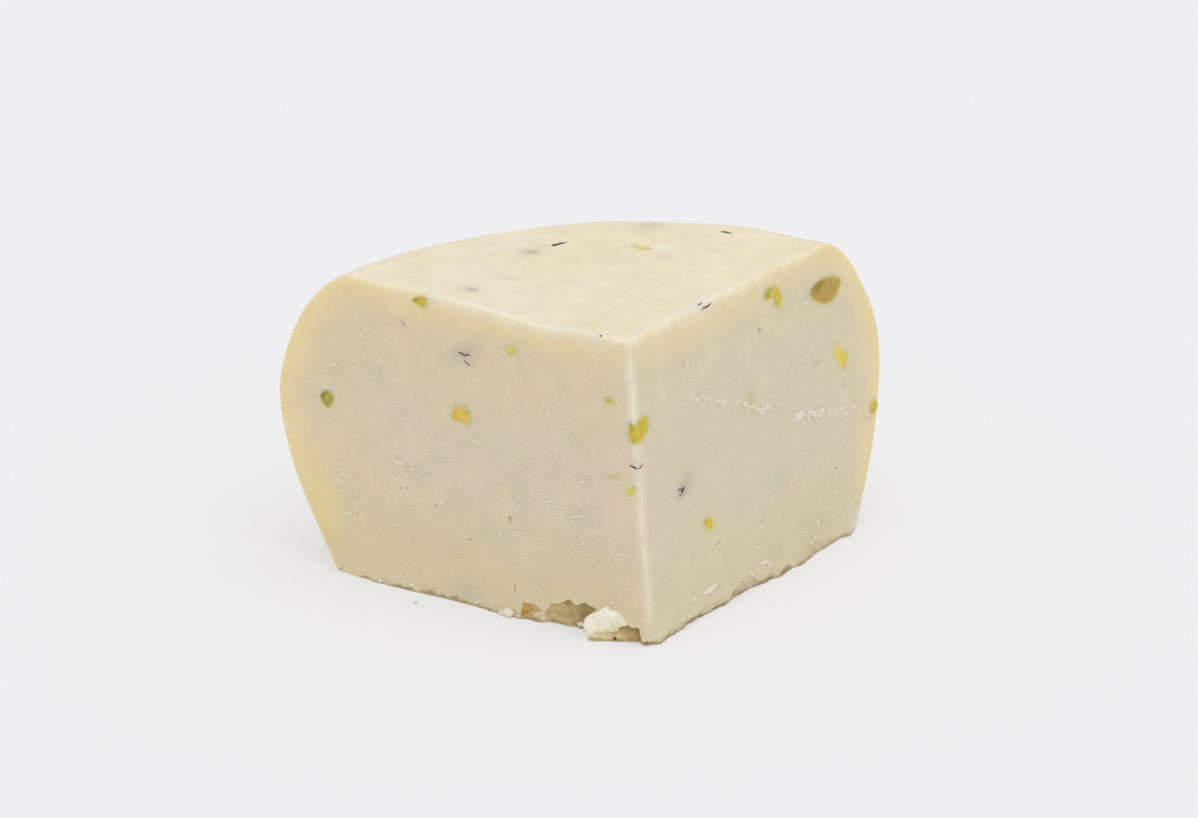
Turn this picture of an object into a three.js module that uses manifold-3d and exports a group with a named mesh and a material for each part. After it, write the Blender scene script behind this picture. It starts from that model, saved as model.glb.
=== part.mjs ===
// Quarter cut from a wheel of pistachio pecorino, lying on its flat base.
// Millimetres, +Z up. The edge where the two knife cuts meet faces -Y, the rind side faces +Y.
// Each pistachio kernel that shows is a solid of its own, seated in a pocket of the cheese.

import * as THREE from 'three';
import { mergeVertices } from 'three/addons/utils/BufferGeometryUtils.js';
import Module from 'manifold-3d';

const wasm = await Module();
wasm.setup();

// The whole wheel stands round X = Y = 0 with its base at Z = 0, and the group moves it into place.
const wheel = {
  radius: 100, // at its widest height
  widestHeight: 41.4,
  baseRadius: 84.1,
  baseRounding: 1.5, // of the corner under the flank
  flankPower: 1.87, // how soon the flank swells out above the base
  shoulderWidth: 19.3,
  shoulderTop: 71.8,
  shoulderPower: 1.63, // 2 is an ellipse, less is a flatter shoulder
  dish: 1.4, // how far the middle of the top has sunk
  axis: new THREE.Vector3(1.6, -50.5, 0), // where it stands in the part's frame
  segments: 120,
  flankSteps: 12,
  shoulderSteps: 11,
  topSteps: 9,
};

// Slow swells of the rind, as the cheese has settled a little unevenly in its mould.
const swells = [
  { size: 0.4, turns: 5, lean: 0.03, start: 0.6 },
  { size: 0.25, turns: 11, lean: -0.05, start: 2.1 },
];

// Shallow hollows and rises of the top, each with its place, depth and reach.
const topHollows = [
  { x: -20, y: 22, depth: 0.9, reach: 10 },
  { x: -40, y: 41, depth: -0.5, reach: 14 },
  { x: 30, y: 39, depth: 0.8, reach: 7 },
  { x: 48, y: 58, depth: 1.5, reach: 12 },
];

// The knife cuts: both hold the edge line, and each runs out from it at its own bearing from +X.
// Near the base a cut bows outwards by its foot, or under the cheese where the foot is negative.
const edgeFoot = new THREE.Vector3(0.7, 1.5, 0);
const edgeHead = new THREE.Vector3(-4, 6.7, 70.4);
const cuts = {
  left: { bearing: 136.8, side: 1, foot: 1, footHeight: 12 },
  right: { bearing: 43.9, side: -1, foot: -0.9, footHeight: 3.5 },
};
const knifeReach = 160; // further than any part of the wheel
const knifeSteps = 5; // over the bowed foot of a cut

// Crumbled places of the base edges. Each run goes along a cut from one distance to another.
const crumbledRuns = [
  { cut: 'left', from: 31, to: 82, count: 9, length: [3, 5], depth: [0.5, 1], height: [1, 2.2] },
  { cut: 'right', from: 5, to: 80, count: 14, length: [4, 8], depth: [0.7, 1.5], height: [1.8, 3.6] },
];
const crumbOut = 0.2; // how far a crumb's middle lies outside the cut

// The torn notch in the left cut, in front of it the smeared flap, and the broken foot of the edge.
const notches = [
  { along: 18.5, out: 0.3, height: 0.8, size: [4, 3, 5.4] },
  { along: 23.5, out: 0.3, height: 0.9, size: [4.5, 3.6, 5.6] },
  { along: 28.5, out: 0.5, height: 1.4, size: [4.5, 2, 4] },
  { along: 4.2, out: 0.4, height: 0.6, size: [3.4, 2.6, 3] },
];
const flapLumps = [
  { along: 12.6, out: -0.6, height: 2.3, size: [4.4, 3.9, 4.9] },
  { along: 9, out: -1, height: 1.6, size: [3.4, 3.2, 3.4] },
  { along: 15.2, out: -0.9, height: 2.6, size: [2.2, 2.2, 3.4] },
];
const brokenTip = { out: 0.4, height: -0.6, size: [2.6, 2.6, 4.2] };
const lumpRoughness = 0.16; // share by which a lump's corners leave its ellipsoid

// Pistachio kernels. Long and short are the cut section that shows, and bury is how far the
// middle lies behind the surface, as a share of the kernel's own thickness.
const kernelGap = 0.3;
const kernelTaper = 0.18; // one end is more pointed
const kernelSides = 10;
const kernelRings = 6;
const cutKernels = {
  right: [
    { name: 'edge', along: 1.8, height: 49.9, long: 7.2, short: 6, tilt: 80, bury: -0.15 },
    { name: 'large', along: 78.4, height: 60.1, long: 14, short: 6.9, tilt: -5, bury: 0.3 },
    { name: 'upper', along: 56.9, height: 64.6, long: 8.4, short: 4.2, tilt: -31, bury: 0.4 },
    { name: 'outer', along: 81.8, height: 42.9, long: 7, short: 4.2, tilt: -49, bury: 0.4 },
    { name: 'low', along: 25, height: 20.8, long: 4.2, short: 3.2, tilt: -27, bury: 0.5 },
    { name: 'rim', along: 94.3, height: 27, long: 3.3, short: 2.8, tilt: 70, bury: 0.1, proud: true },
  ],
  left: [
    { name: 'middle', along: 46.1, height: 44.6, long: 5.8, short: 4.2, tilt: -9, bury: 0.5 },
    { name: 'outer', along: 82.4, height: 41.2, long: 4.2, short: 3.8, tilt: -17, bury: 0.4 },
    { name: 'top', along: 54.2, height: 68.8, long: 4.2, short: 2.7, tilt: 5, bury: 0.5 },
    { name: 'high', along: 30.9, height: 62.8, long: 3.6, short: 2.8, tilt: -37, bury: 0.6 },
    { name: 'low', along: 2.5, height: 36.3, long: 2.6, short: 2.1, tilt: -49, bury: 0.3 },
    { name: 'sliver', along: 5.6, height: 55.8, long: 4.2, short: 2, tilt: -16, bury: 0.5 },
  ],
};
const topKernels = [
  { name: 'first', x: 10.7, y: 64.3, long: 4.4, short: 2.8, tilt: 20, bury: 0.5 },
];
// Kernels that stand a little proud of the rind, by bearing round the wheel.
const rindKernels = [
  { name: 'right', bearing: 78, height: 33, long: 5.2, short: 3.6, tilt: 25, bury: 0.7 },
  { name: 'left', bearing: 116, height: 52, long: 4.6, short: 3.4, tilt: -40, bury: 0.7 },
];

const cheeseFinish = { color: '#ddcfb0', roughness: 0.42, metalness: 0 };
const kernelFinish = { color: '#bfa94a', roughness: 0.35, metalness: 0 };

// The next number of a fixed, even sequence from 0 to 1.
const drawStep = 12.9898;
const drawSpread = 43758.5453;
let drawn = 0;
function draw() {
  drawn += 1;
  const wave = Math.sin(drawn * drawStep) * drawSpread;
  return wave - Math.floor(wave);
}

function between([low, high], share) {
  return low + (high - low) * share;
}

// Solid from a closed geometry: equal corners are merged and flat slivers at the poles dropped.
function solidFrom(geometry) {
  const bare = geometry.index ? geometry.clone() : geometry;
  bare.deleteAttribute('normal');
  bare.deleteAttribute('uv');
  const merged = mergeVertices(bare, 1e-4);
  const corners = [];
  for (let i = 0; i < merged.index.count; i += 3) {
    const [a, b, c] = [merged.index.getX(i), merged.index.getX(i + 1), merged.index.getX(i + 2)];
    if (a !== b && b !== c && c !== a) corners.push(a, b, c);
  }
  const vertProperties = new Float32Array(merged.attributes.position.array);
  const triVerts = new Uint32Array(corners);
  return new wasm.Manifold(new wasm.Mesh({ numProp: 3, vertProperties, triVerts }));
}

function meshFrom(name, solid, finish) {
  const { vertProperties, triVerts } = solid.getMesh();
  const geometry = new THREE.BufferGeometry();
  geometry.setAttribute('position', new THREE.BufferAttribute(new Float32Array(vertProperties), 3));
  geometry.setIndex(new THREE.BufferAttribute(new Uint32Array(triVerts), 1));
  geometry.computeVertexNormals();
  const mesh = new THREE.Mesh(geometry, new THREE.MeshStandardMaterial(finish));
  mesh.name = name;
  return mesh;
}

// Radius of the flank at a height: straight up at the widest height, leaning in towards the base.
function flankRadius(height) {
  const below = 1 - height / wheel.widestHeight;
  const swell = (wheel.radius - wheel.baseRadius) * (1 - below ** wheel.flankPower);
  const corner = Math.max(0, 1 - height / wheel.baseRounding);
  return wheel.baseRadius + swell - wheel.baseRounding * corner ** 2;
}

// Profile of the wheel from the middle of its base, up the flank and shoulder, to its top's middle.
function wheelProfile() {
  const points = [new THREE.Vector2(0, 0)];
  for (let i = 0; i <= wheel.flankSteps; i += 1) {
    const height = wheel.widestHeight * (i / wheel.flankSteps) ** 1.5;
    points.push(new THREE.Vector2(flankRadius(height), height));
  }
  const shoulderStart = wheel.radius - wheel.shoulderWidth;
  const shoulderRise = wheel.shoulderTop - wheel.widestHeight;
  for (let i = 1; i <= wheel.shoulderSteps; i += 1) {
    const turn = (Math.PI / 2) * (1 - i / wheel.shoulderSteps);
    const out = wheel.shoulderWidth * Math.sin(turn) ** (2 / wheel.shoulderPower);
    const up = shoulderRise * Math.cos(turn) ** (2 / wheel.shoulderPower);
    points.push(new THREE.Vector2(shoulderStart + out, wheel.widestHeight + up));
  }
  for (let i = wheel.topSteps - 1; i >= 0; i -= 1) {
    const share = i / wheel.topSteps;
    const height = wheel.shoulderTop - wheel.dish * (1 - share ** 2);
    points.push(new THREE.Vector2(shoulderStart * share, height));
  }
  return points;
}

// The wheel's surface, pushed in and out by the slow swells and the hollows of the top.
function wholeWheel() {
  const geometry = new THREE.LatheGeometry(wheelProfile(), wheel.segments);
  geometry.rotateX(Math.PI / 2);
  const position = geometry.attributes.position;
  for (let i = 0; i < position.count; i += 1) {
    const [x, y, z] = [position.getX(i), position.getY(i), position.getZ(i)];
    const angle = Math.atan2(y, x);
    const share = (Math.hypot(x, y) / wheel.radius) ** 2;
    let swell = 0;
    for (const wave of swells) {
      swell += wave.size * Math.sin(wave.turns * angle + wave.lean * z + wave.start);
    }
    let drop = 0;
    for (const hollow of topHollows) {
      const distance = Math.hypot(x - hollow.x, y - hollow.y);
      drop += hollow.depth * Math.exp(-((distance / hollow.reach) ** 2));
    }
    const stretch = 1 + (swell * share) / wheel.radius;
    const lifted = z > wheel.widestHeight ? z - drop * (z / wheel.shoulderTop) ** 4 : z;
    position.setXYZ(i, x * stretch, y * stretch, lifted);
  }
  return solidFrom(geometry);
}

// Frame of a cut: along runs out from the edge, up climbs the edge, out leaves the cheese.
const edgeRise = edgeHead.clone().sub(edgeFoot).divideScalar(edgeHead.z - edgeFoot.z);
function cutFrame(cut) {
  const bearing = THREE.MathUtils.degToRad(cut.bearing);
  const along = new THREE.Vector3(Math.cos(bearing), Math.sin(bearing), 0);
  const out = new THREE.Vector3().crossVectors(along, edgeRise).normalize().multiplyScalar(-cut.side);
  const up = new THREE.Vector3().crossVectors(out, along).multiplyScalar(-cut.side);
  return { along, up, out };
}

function pointOnCut(cut, along, height) {
  const frame = cutFrame(cut);
  return edgeFoot.clone().addScaledVector(edgeRise, height).addScaledVector(frame.along, along);
}

// What the knife takes off beyond one cut: a thick slab whose near side bows at the foot.
function beyondCut(cut) {
  const shape = new THREE.Shape();
  shape.moveTo(knifeReach, -knifeReach);
  shape.lineTo(cut.foot, -knifeReach);
  for (let i = 0; i <= knifeSteps; i += 1) {
    const share = i / knifeSteps;
    shape.lineTo(cut.foot * (1 - share) ** 2, cut.footHeight * share);
  }
  shape.lineTo(0, knifeReach);
  shape.lineTo(knifeReach, knifeReach);
  const geometry = new THREE.ExtrudeGeometry(shape, { depth: 2 * knifeReach, bevelEnabled: false });
  geometry.translate(0, 0, -knifeReach);
  const { up, out } = cutFrame(cut);
  const across = new THREE.Vector3().crossVectors(out, up);
  geometry.applyMatrix4(new THREE.Matrix4().makeBasis(out, up, across).setPosition(edgeFoot));
  return solidFrom(geometry);
}

// A rough lump: an ellipsoid whose corners are moved in and out, placed along, out and up.
function lump(frame, centre, [length, depth, height]) {
  const ball = new THREE.IcosahedronGeometry(1, 1);
  ball.deleteAttribute('normal');
  ball.deleteAttribute('uv');
  const rough = mergeVertices(ball, 1e-4);
  const position = rough.attributes.position;
  for (let i = 0; i < position.count; i += 1) {
    const reach = 1 + lumpRoughness * (2 * draw() - 1);
    position.setXYZ(i, position.getX(i) * reach, position.getY(i) * reach, position.getZ(i) * reach);
  }
  rough.scale(length, depth, height);
  const across = new THREE.Vector3().crossVectors(frame.up, frame.along);
  rough.applyMatrix4(new THREE.Matrix4().makeBasis(frame.along, across, frame.up).setPosition(centre));
  return solidFrom(rough);
}

function lumpOnCut(cut, { along, out, height, size }) {
  const frame = cutFrame(cut);
  return lump(frame, pointOnCut(cut, along, height).addScaledVector(frame.out, out), size);
}

// Crumbs that have broken off along the base edges of both cuts.
function crumbledEdges() {
  const lumps = [];
  for (const run of crumbledRuns) {
    const step = (run.to - run.from) / (run.count - 1);
    for (let i = 0; i < run.count; i += 1) {
      const size = [run.length, run.depth, run.height].map((range) => between(range, draw()));
      const along = run.from + step * (i + draw() - 0.5);
      lumps.push(lumpOnCut(cuts[run.cut], { along, out: crumbOut, height: 0, size }));
    }
  }
  return lumps;
}

function floorSlab() {
  const slab = new THREE.BoxGeometry(2 * knifeReach, 2 * knifeReach, knifeReach);
  return solidFrom(slab.translate(0, 0, -knifeReach / 2));
}

// The quarter before its crumbs break off.
function cleanQuarter() {
  return wholeWheel().subtract(beyondCut(cuts.left)).subtract(beyondCut(cuts.right));
}

function crumbledQuarter(quarter) {
  let solid = quarter;
  for (const crumb of crumbledEdges()) solid = solid.subtract(crumb);
  for (const notch of notches) solid = solid.subtract(lumpOnCut(cuts.left, notch));
  const edge = cutFrame(cuts.right);
  const forward = cutFrame(cuts.left).out.add(edge.out).normalize();
  const tip = edgeFoot.clone().addScaledVector(forward, brokenTip.out);
  tip.z = brokenTip.height;
  solid = solid.subtract(lump(edge, tip, brokenTip.size));
  for (const piece of flapLumps) solid = solid.add(lumpOnCut(cuts.left, piece));
  return solid.subtract(floorSlab());
}

// An egg with its long axis on X, its pointed end at +X and the given half sizes.
function egg(halfLong, halfShort, halfThick) {
  const geometry = new THREE.SphereGeometry(1, kernelSides, kernelRings);
  geometry.rotateZ(-Math.PI / 2);
  const position = geometry.attributes.position;
  for (let i = 0; i < position.count; i += 1) {
    const girth = 1 - kernelTaper * position.getX(i);
    position.setXYZ(i, position.getX(i), position.getY(i) * girth, position.getZ(i) * girth);
  }
  return geometry.scale(halfLong, halfShort, halfThick);
}

// A kernel and its pocket, from the section that shows and the frame of the surface it shows in.
function kernelAt(kernel, frame, point) {
  const shown = Math.sqrt(1 - kernel.bury ** 2);
  const halfLong = kernel.long / 2 / shown;
  const halfShort = kernel.short / 2 / shown;
  const centre = point.clone().addScaledVector(frame.out, -kernel.bury * halfShort);
  const across = new THREE.Vector3().crossVectors(frame.out, frame.along);
  const place = new THREE.Matrix4().makeBasis(frame.along, across, frame.out).setPosition(centre);
  const upward = across.dot(frame.up) < 0 ? -1 : 1;
  const turn = upward * THREE.MathUtils.degToRad(kernel.tilt);
  const [body, pocket] = [0, kernelGap].map((gap) => {
    const geometry = egg(halfLong + gap, halfShort + gap, halfShort + gap);
    return solidFrom(geometry.rotateZ(turn).applyMatrix4(place));
  });
  return { body, pocket };
}

// Height of the top at a distance from the wheel's axis, before its hollows.
function topHeight(distance) {
  const share = distance / (wheel.radius - wheel.shoulderWidth);
  return wheel.shoulderTop - wheel.dish * (1 - share ** 2);
}

function topFrame() {
  return {
    along: new THREE.Vector3(1, 0, 0),
    up: new THREE.Vector3(0, 1, 0),
    out: new THREE.Vector3(0, 0, 1),
  };
}

function rindRadius(height) {
  if (height < wheel.widestHeight) return flankRadius(height);
  const rise = (height - wheel.widestHeight) / (wheel.shoulderTop - wheel.widestHeight);
  const out = (1 - rise ** wheel.shoulderPower) ** (1 / wheel.shoulderPower);
  return wheel.radius - wheel.shoulderWidth * (1 - out);
}

function rindFrame(bearing) {
  const angle = THREE.MathUtils.degToRad(bearing);
  return {
    along: new THREE.Vector3(-Math.sin(angle), Math.cos(angle), 0),
    up: new THREE.Vector3(0, 0, 1),
    out: new THREE.Vector3(Math.cos(angle), Math.sin(angle), 0),
  };
}

const quarter = cleanQuarter();
let cheese = crumbledQuarter(quarter);
const group = new THREE.Group();
group.position.copy(wheel.axis);

// Seats one kernel in the cheese. It ends flush with the surface, or stands proud of it.
function seatKernel(name, kernel, frame, point) {
  const { body, pocket } = kernelAt(kernel, frame, point);
  cheese = cheese.subtract(pocket);
  group.add(meshFrom(name, kernel.proud ? body : body.intersect(quarter), kernelFinish));
}

for (const [side, kernels] of Object.entries(cutKernels)) {
  for (const kernel of kernels) {
    const point = pointOnCut(cuts[side], kernel.along, kernel.height);
    seatKernel(`kernel_${side}_${kernel.name}`, kernel, cutFrame(cuts[side]), point);
  }
}
for (const kernel of topKernels) {
  const point = new THREE.Vector3(kernel.x, kernel.y, topHeight(Math.hypot(kernel.x, kernel.y)));
  seatKernel(`kernel_top_${kernel.name}`, kernel, topFrame(), point);
}
for (const kernel of rindKernels) {
  const frame = rindFrame(kernel.bearing);
  const point = frame.out.clone().multiplyScalar(rindRadius(kernel.height)).setZ(kernel.height);
  seatKernel(`kernel_rind_${kernel.name}`, { ...kernel, proud: true }, frame, point);
}
group.add(meshFrom('cheese_quarter', cheese, cheeseFinish));

export default group;
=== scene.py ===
import math

import bpy
import numpy as np
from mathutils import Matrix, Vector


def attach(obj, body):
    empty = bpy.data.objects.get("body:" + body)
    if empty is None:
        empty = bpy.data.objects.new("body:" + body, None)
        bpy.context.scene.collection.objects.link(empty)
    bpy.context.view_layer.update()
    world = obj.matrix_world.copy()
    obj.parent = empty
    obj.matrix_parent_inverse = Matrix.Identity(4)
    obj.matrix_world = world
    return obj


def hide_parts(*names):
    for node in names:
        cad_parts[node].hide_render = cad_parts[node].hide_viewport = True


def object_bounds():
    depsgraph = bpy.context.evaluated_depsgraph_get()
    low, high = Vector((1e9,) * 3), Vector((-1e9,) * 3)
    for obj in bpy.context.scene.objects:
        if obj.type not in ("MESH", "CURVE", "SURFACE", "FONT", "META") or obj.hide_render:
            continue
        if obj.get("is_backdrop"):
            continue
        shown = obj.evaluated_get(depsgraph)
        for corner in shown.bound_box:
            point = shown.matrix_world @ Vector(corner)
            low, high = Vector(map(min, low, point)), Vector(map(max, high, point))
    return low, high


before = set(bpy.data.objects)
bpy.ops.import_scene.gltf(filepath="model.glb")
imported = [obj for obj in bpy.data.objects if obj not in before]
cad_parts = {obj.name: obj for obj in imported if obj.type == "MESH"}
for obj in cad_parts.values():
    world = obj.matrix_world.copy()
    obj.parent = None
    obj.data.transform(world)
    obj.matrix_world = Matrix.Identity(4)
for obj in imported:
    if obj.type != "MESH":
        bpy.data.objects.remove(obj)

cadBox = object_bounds()
print("frame loaded,", len(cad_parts), "nodes")

# Shapes are worked out in millimetres, round the axis of the whole wheel, and moved to the part's
# place and into metres when they become meshes.
wheel = {
    "radius": 100.0,  # at its widest height
    "widestHeight": 41.4,
    "baseRadius": 84.1,
    "baseRounding": 1.5,
    "flankPower": 1.87,
    "climbPower": 1.25,  # crowds the rows of the flank towards its foot
    "shoulderWidth": 19.3,
    "shoulderTop": 71.8,
    "shoulderPower": 1.63,
    "dish": 1.4,  # how far the middle of the top has sunk
    "axis": (1.6, -50.5, 0.0),  # where the wheel's axis stands in the part's frame
    "swells": [(0.3, 5, 0.03, 0.6), (0.25, 11, -0.05, 2.1)],  # size, turns, lean, start
    "hollows": [(-20, 22, 0.9, 10), (-40, 41, -0.5, 14), (30, 39, 0.8, 7), (48, 58, 1.5, 12)],
    "shoulderSwells": [(2.6, 89, 10), (-2.7, 53, 8)],  # size, bearing and reach in degrees
    "shoulderSwellsFoot": (48, 14),  # the height at which they start, and over which they grow
    "hollowPower": 10,  # how soon a hollow of the top dies out below it
    "profileSteps": 260,
}

# Each cut's bearing in degrees and side, and how far it bows out at its foot, up to a height.
cuts = {
    "left": {"bearing": 136.8, "side": 1, "foot": 1.0, "footHeight": 12.0},
    "right": {"bearing": 43.9, "side": -1, "foot": -0.9, "footHeight": 3.5},
}
edgeFoot = np.array([0.7, 1.5, 0.0])
edgeHead = np.array([-4.0, 6.7, 70.4])
edgeRise = (edgeHead - edgeFoot) / (edgeHead[2] - edgeFoot[2])
for cut in cuts.values():
    bearing = math.radians(cut["bearing"])
    cut["along"] = np.array([math.cos(bearing), math.sin(bearing), 0.0])
    across = np.cross(cut["along"], edgeRise)
    cut["out"] = -cut["side"] * across / np.linalg.norm(across)
edgeOut = cuts["left"]["out"] + cuts["right"]["out"]
edgeOut = edgeOut / np.linalg.norm(edgeOut)


# A fixed number from 0 to 1 for each whole corner: its three numbers are mixed as 31-bit integers.
def cornerNumber(corner, seed):
    mixed = corner[..., 0] * 73856093 ^ corner[..., 1] * 19349663 ^ corner[..., 2] * 83492791
    mixed = (mixed ^ (seed * 49979693)) & 0x7FFFFFFF
    mixed = ((mixed ^ (mixed >> 15)) * 1103515245) & 0x7FFFFFFF
    mixed = ((mixed ^ (mixed >> 13)) * 1664525) & 0x7FFFFFFF
    return ((mixed ^ (mixed >> 16)) & 0xFFFF) / 65535.0


# Value noise from -1 to 1: the corner numbers of a lattice, blended by 3t^2 - 2t^3 along each axis.
def noise(points, size, seed):
    spot = np.asarray(points, float) / size
    corner = np.floor(spot).astype(np.int64)
    share = spot - corner
    share = share * share * (3 - 2 * share)
    total = np.zeros(spot.shape[:-1])
    for step in np.ndindex(2, 2, 2):
        weight = np.prod(np.where(np.array(step), share, 1 - share), axis=-1)
        total += weight * cornerNumber(corner + np.array(step), seed)
    return 2 * total - 1


# Noise of several sizes: each is half the last in size and in strength.
def cloud(points, size, seed, octaves=3):
    return sum(noise(points, size / 2**k, seed + k) / 2**k for k in range(octaves))


# Goes from 0 to 1 as 3t^2 - 2t^3.
def smooth(share):
    share = np.clip(share, 0, 1)
    return share * share * (3 - 2 * share)


# From 0 at the start to 1 at the end of a stretch.
def grown(value, start, over):
    return smooth((value - start) / over)


# The clean shape of the quarter starts here, before wear and breaks.
# Flank: base + (widest - base)(1 - (1 - h/widest)^power), less a small corner at its foot.
def flankRadius(height):
    below = np.clip(1 - height / wheel["widestHeight"], 0, 1)
    swell = (wheel["radius"] - wheel["baseRadius"]) * (1 - below ** wheel["flankPower"])
    corner = np.clip(1 - height / wheel["baseRounding"], 0, 1)
    return wheel["baseRadius"] + swell - wheel["baseRounding"] * corner**2


# Shoulder: out = width (1 - rise^p)^(1/p) beyond its start, a superellipse.
def rindRadius(height):
    rise = (height - wheel["widestHeight"]) / (wheel["shoulderTop"] - wheel["widestHeight"])
    power = wheel["shoulderPower"]
    out = (1 - np.clip(rise, 0, 1) ** power) ** (1 / power)
    shoulder = wheel["radius"] - wheel["shoulderWidth"] * (1 - out)
    return np.where(height < wheel["widestHeight"], flankRadius(height), shoulder)


# Top: a shallow dish, shoulderTop - dish (1 - share^2) with share the distance over the shoulder's start.
def topHeight(distance):
    share = np.clip(distance / (wheel["radius"] - wheel["shoulderWidth"]), 0, 1)
    return wheel["shoulderTop"] - wheel["dish"] * (1 - share**2)


# Profile of the rind for climb from 0 at the base to 1 at the widest height, and on to 2 at the top.
def rindProfile(climb):
    height = wheel["widestHeight"] * np.clip(climb, 0, 1) ** wheel["climbPower"]
    turn = (math.pi / 2) * (1 - np.clip(climb - 1, 0, 1))
    power = 2 / wheel["shoulderPower"]
    out = wheel["shoulderWidth"] * np.sin(turn) ** power
    up = (wheel["shoulderTop"] - wheel["widestHeight"]) * np.clip(np.cos(turn), 0, 1) ** power
    radius = np.where(climb < 1, flankRadius(height), wheel["radius"] - wheel["shoulderWidth"] + out)
    return radius, np.where(climb < 1, height, wheel["widestHeight"] + up)


# How far a cut bows out at a height: foot (1 - h/footHeight)^2.
def cutBow(cut, height):
    return cut["foot"] * np.clip(1 - height / cut["footHeight"], 0, 1) ** 2


# Where a bowed cut passes at a height, a distance along it from the edge line.
def cutPoint(cut, along, height):
    along, height = np.broadcast_arrays(np.asarray(along, float), np.asarray(height, float))
    flat = cut["out"] * (1, 1, 0)
    bow = (cutBow(cut, height) / (flat @ flat))[..., None] * flat
    return edgeFoot + edgeRise * height[..., None] + cut["along"] * along[..., None] + bow


# From the edge line to points, level.
def fromEdge(points):
    return points - (edgeFoot + edgeRise * points[..., 2:])


# Depth of points under a cut.
def cutDepth(cut, points):
    return cutBow(cut, points[..., 2]) - fromEdge(points) @ cut["out"]


# How far along a cut the two bowed cuts meet, at a height.
def cornerAlong(cut, height):
    ways = np.array([cuts["left"]["out"][:2], cuts["right"]["out"][:2]])
    bows = np.stack([cutBow(cuts["left"], height), cutBow(cuts["right"], height)], -1)
    return (bows @ np.linalg.inv(ways).T) @ cut["along"][:2]


# Where a cut leaves the wheel, at a height and wheel radius: the far root of |start + along t| = radius.
def rimAlong(cut, height, radius):
    start = cutPoint(cut, 0 * height, height)[..., :2]
    middle = start @ cut["along"][:2]
    return -middle + np.sqrt(middle**2 - (start**2).sum(-1) + radius**2)


# Samples of the profile, rind and then top, and the way out at each: along the line, turned square.
def profileSamples():
    climb = np.linspace(0, 2, wheel["profileSteps"])
    radius, height = rindProfile(climb)
    inner = np.linspace(wheel["radius"] - wheel["shoulderWidth"], 0, wheel["profileSteps"])[1:]
    line = np.concatenate([np.stack([radius, height], -1), np.stack([inner, topHeight(inner)], -1)])
    way = np.gradient(line, axis=0)
    way /= np.linalg.norm(way, axis=1)[:, None]
    return line, np.stack([way[:, 1], -way[:, 0]], -1)


profileLine, profileOut = profileSamples()


# Depth of points under the rind and top, and the way out: the nearest sample of the wheel's profile.
def wheelDepth(points):
    flat = points.reshape(-1, 3)
    place = np.stack([np.hypot(flat[:, 0], flat[:, 1]), flat[:, 2]], -1)
    nearest = np.concatenate([
        ((part[:, None] - profileLine) ** 2).sum(-1).argmin(1)
        for part in np.array_split(place, max(1, len(place) // 4000))
    ])
    depth = ((profileLine[nearest] - place) * profileOut[nearest]).sum(-1)
    way = flat[:, :2] / np.maximum(place[:, :1], 1e-6)
    out = np.concatenate([way * profileOut[nearest, :1], profileOut[nearest, 1:]], -1)
    return depth.reshape(points.shape[:-1]), out.reshape(points.shape)


# How the real surface leaves the clean one.
relief = {
    "cutEdge": 0.8,  # rounding of the long edge between the cuts
    "topEdge": 1.2,  # of the edges between a cut and the top
    "rimEdge": 0.45,  # of the edges between a cut and the flank
    "topTurn": (0.5, 0.4),  # how far upwards the rind has turned where the rounding goes over to the top's
    "sharpFoot": 6,  # the height up to which the rim is sharper
    "rindFoot": 3,  # the height up to which the rind's waves grow
    "cutWaves": [(24, 0.2), (8, 0.07), (2.2, 0.035)],  # size and height of waves
    "rindWaves": [(13, 0.2), (4.5, 0.07), (1.8, 0.025)],
    "wavesReach": 1.5,  # how deep under a surface its waves still move points
    "chipLength": 2.6,
    "chipHeight": (0.4, 2.4),
    "chipDepth": 0.45,
    "footHeight": 4.5,  # of the uneven foot lines below
    "footReach": 0.5,  # how deep under a cut they still move points
    # how far each cut's foot stands out of the clean one, at distances along it
    "left": [(0, 0), (1.4, -0.9), (2.8, -1.4), (4.3, -0.8), (10, -0.3), (18, 0), (26, 0.4), (28, 0.1),
        (30, 0.6), (32, 0.2), (34, 0.4), (35.5, 1.2), (38.5, 0.9), (40, 0.7), (42.2, 0.7), (46, 0.1),
        (50.1, 0.1), (53.9, 0), (58.1, 0.8), (63.5, 0.6), (68.6, 0.8), (70.2, 1), (74.8, 0.3), (79.9, -0.3),
        (82.4, 0), (95, 0)],
    "right": [(0, 0), (1.4, 0.7), (2.7, 1.4), (5.3, 1.1), (7.9, 0.5), (10.9, 0.6), (13, 0.8), (16, -0.2),
        (19.7, -0.2), (21.6, 0.3), (25, 0.5), (29.3, 0.5), (33.2, 0.2), (35.2, 0.8), (37.4, 0.6),
        (42.8, 0.4), (46.8, 0.9), (49.9, 1.6), (52.6, 1.5), (56.1, 1.4), (59.9, 2), (63.6, 1.6),
        (66.5, 1.2), (70.1, 1), (74.5, 0.8), (77, 0.1), (80, 1.2), (83.5, 1.2), (95, 0.6)],
    "tipBack": 1.5,  # how far the foot of the long edge is broken back
    "tipWidth": 2.1,
}


# Rounds an edge between two surfaces: depths (a, b) become c + r (p - c)/|p - c| with c = (r, r).
def roundEdge(points, depthA, outA, depthB, outB, radius):
    shortA, shortB = radius - depthA, radius - depthB
    reach = np.hypot(shortA, shortB)
    near = (shortA > 0) & (shortB > 0) & (reach > radius)
    pull = np.where(near, 1 - radius / np.maximum(reach, 1e-9), 0)
    return -(pull * shortA)[..., None] * outA - (pull * shortB)[..., None] * outB


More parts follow.
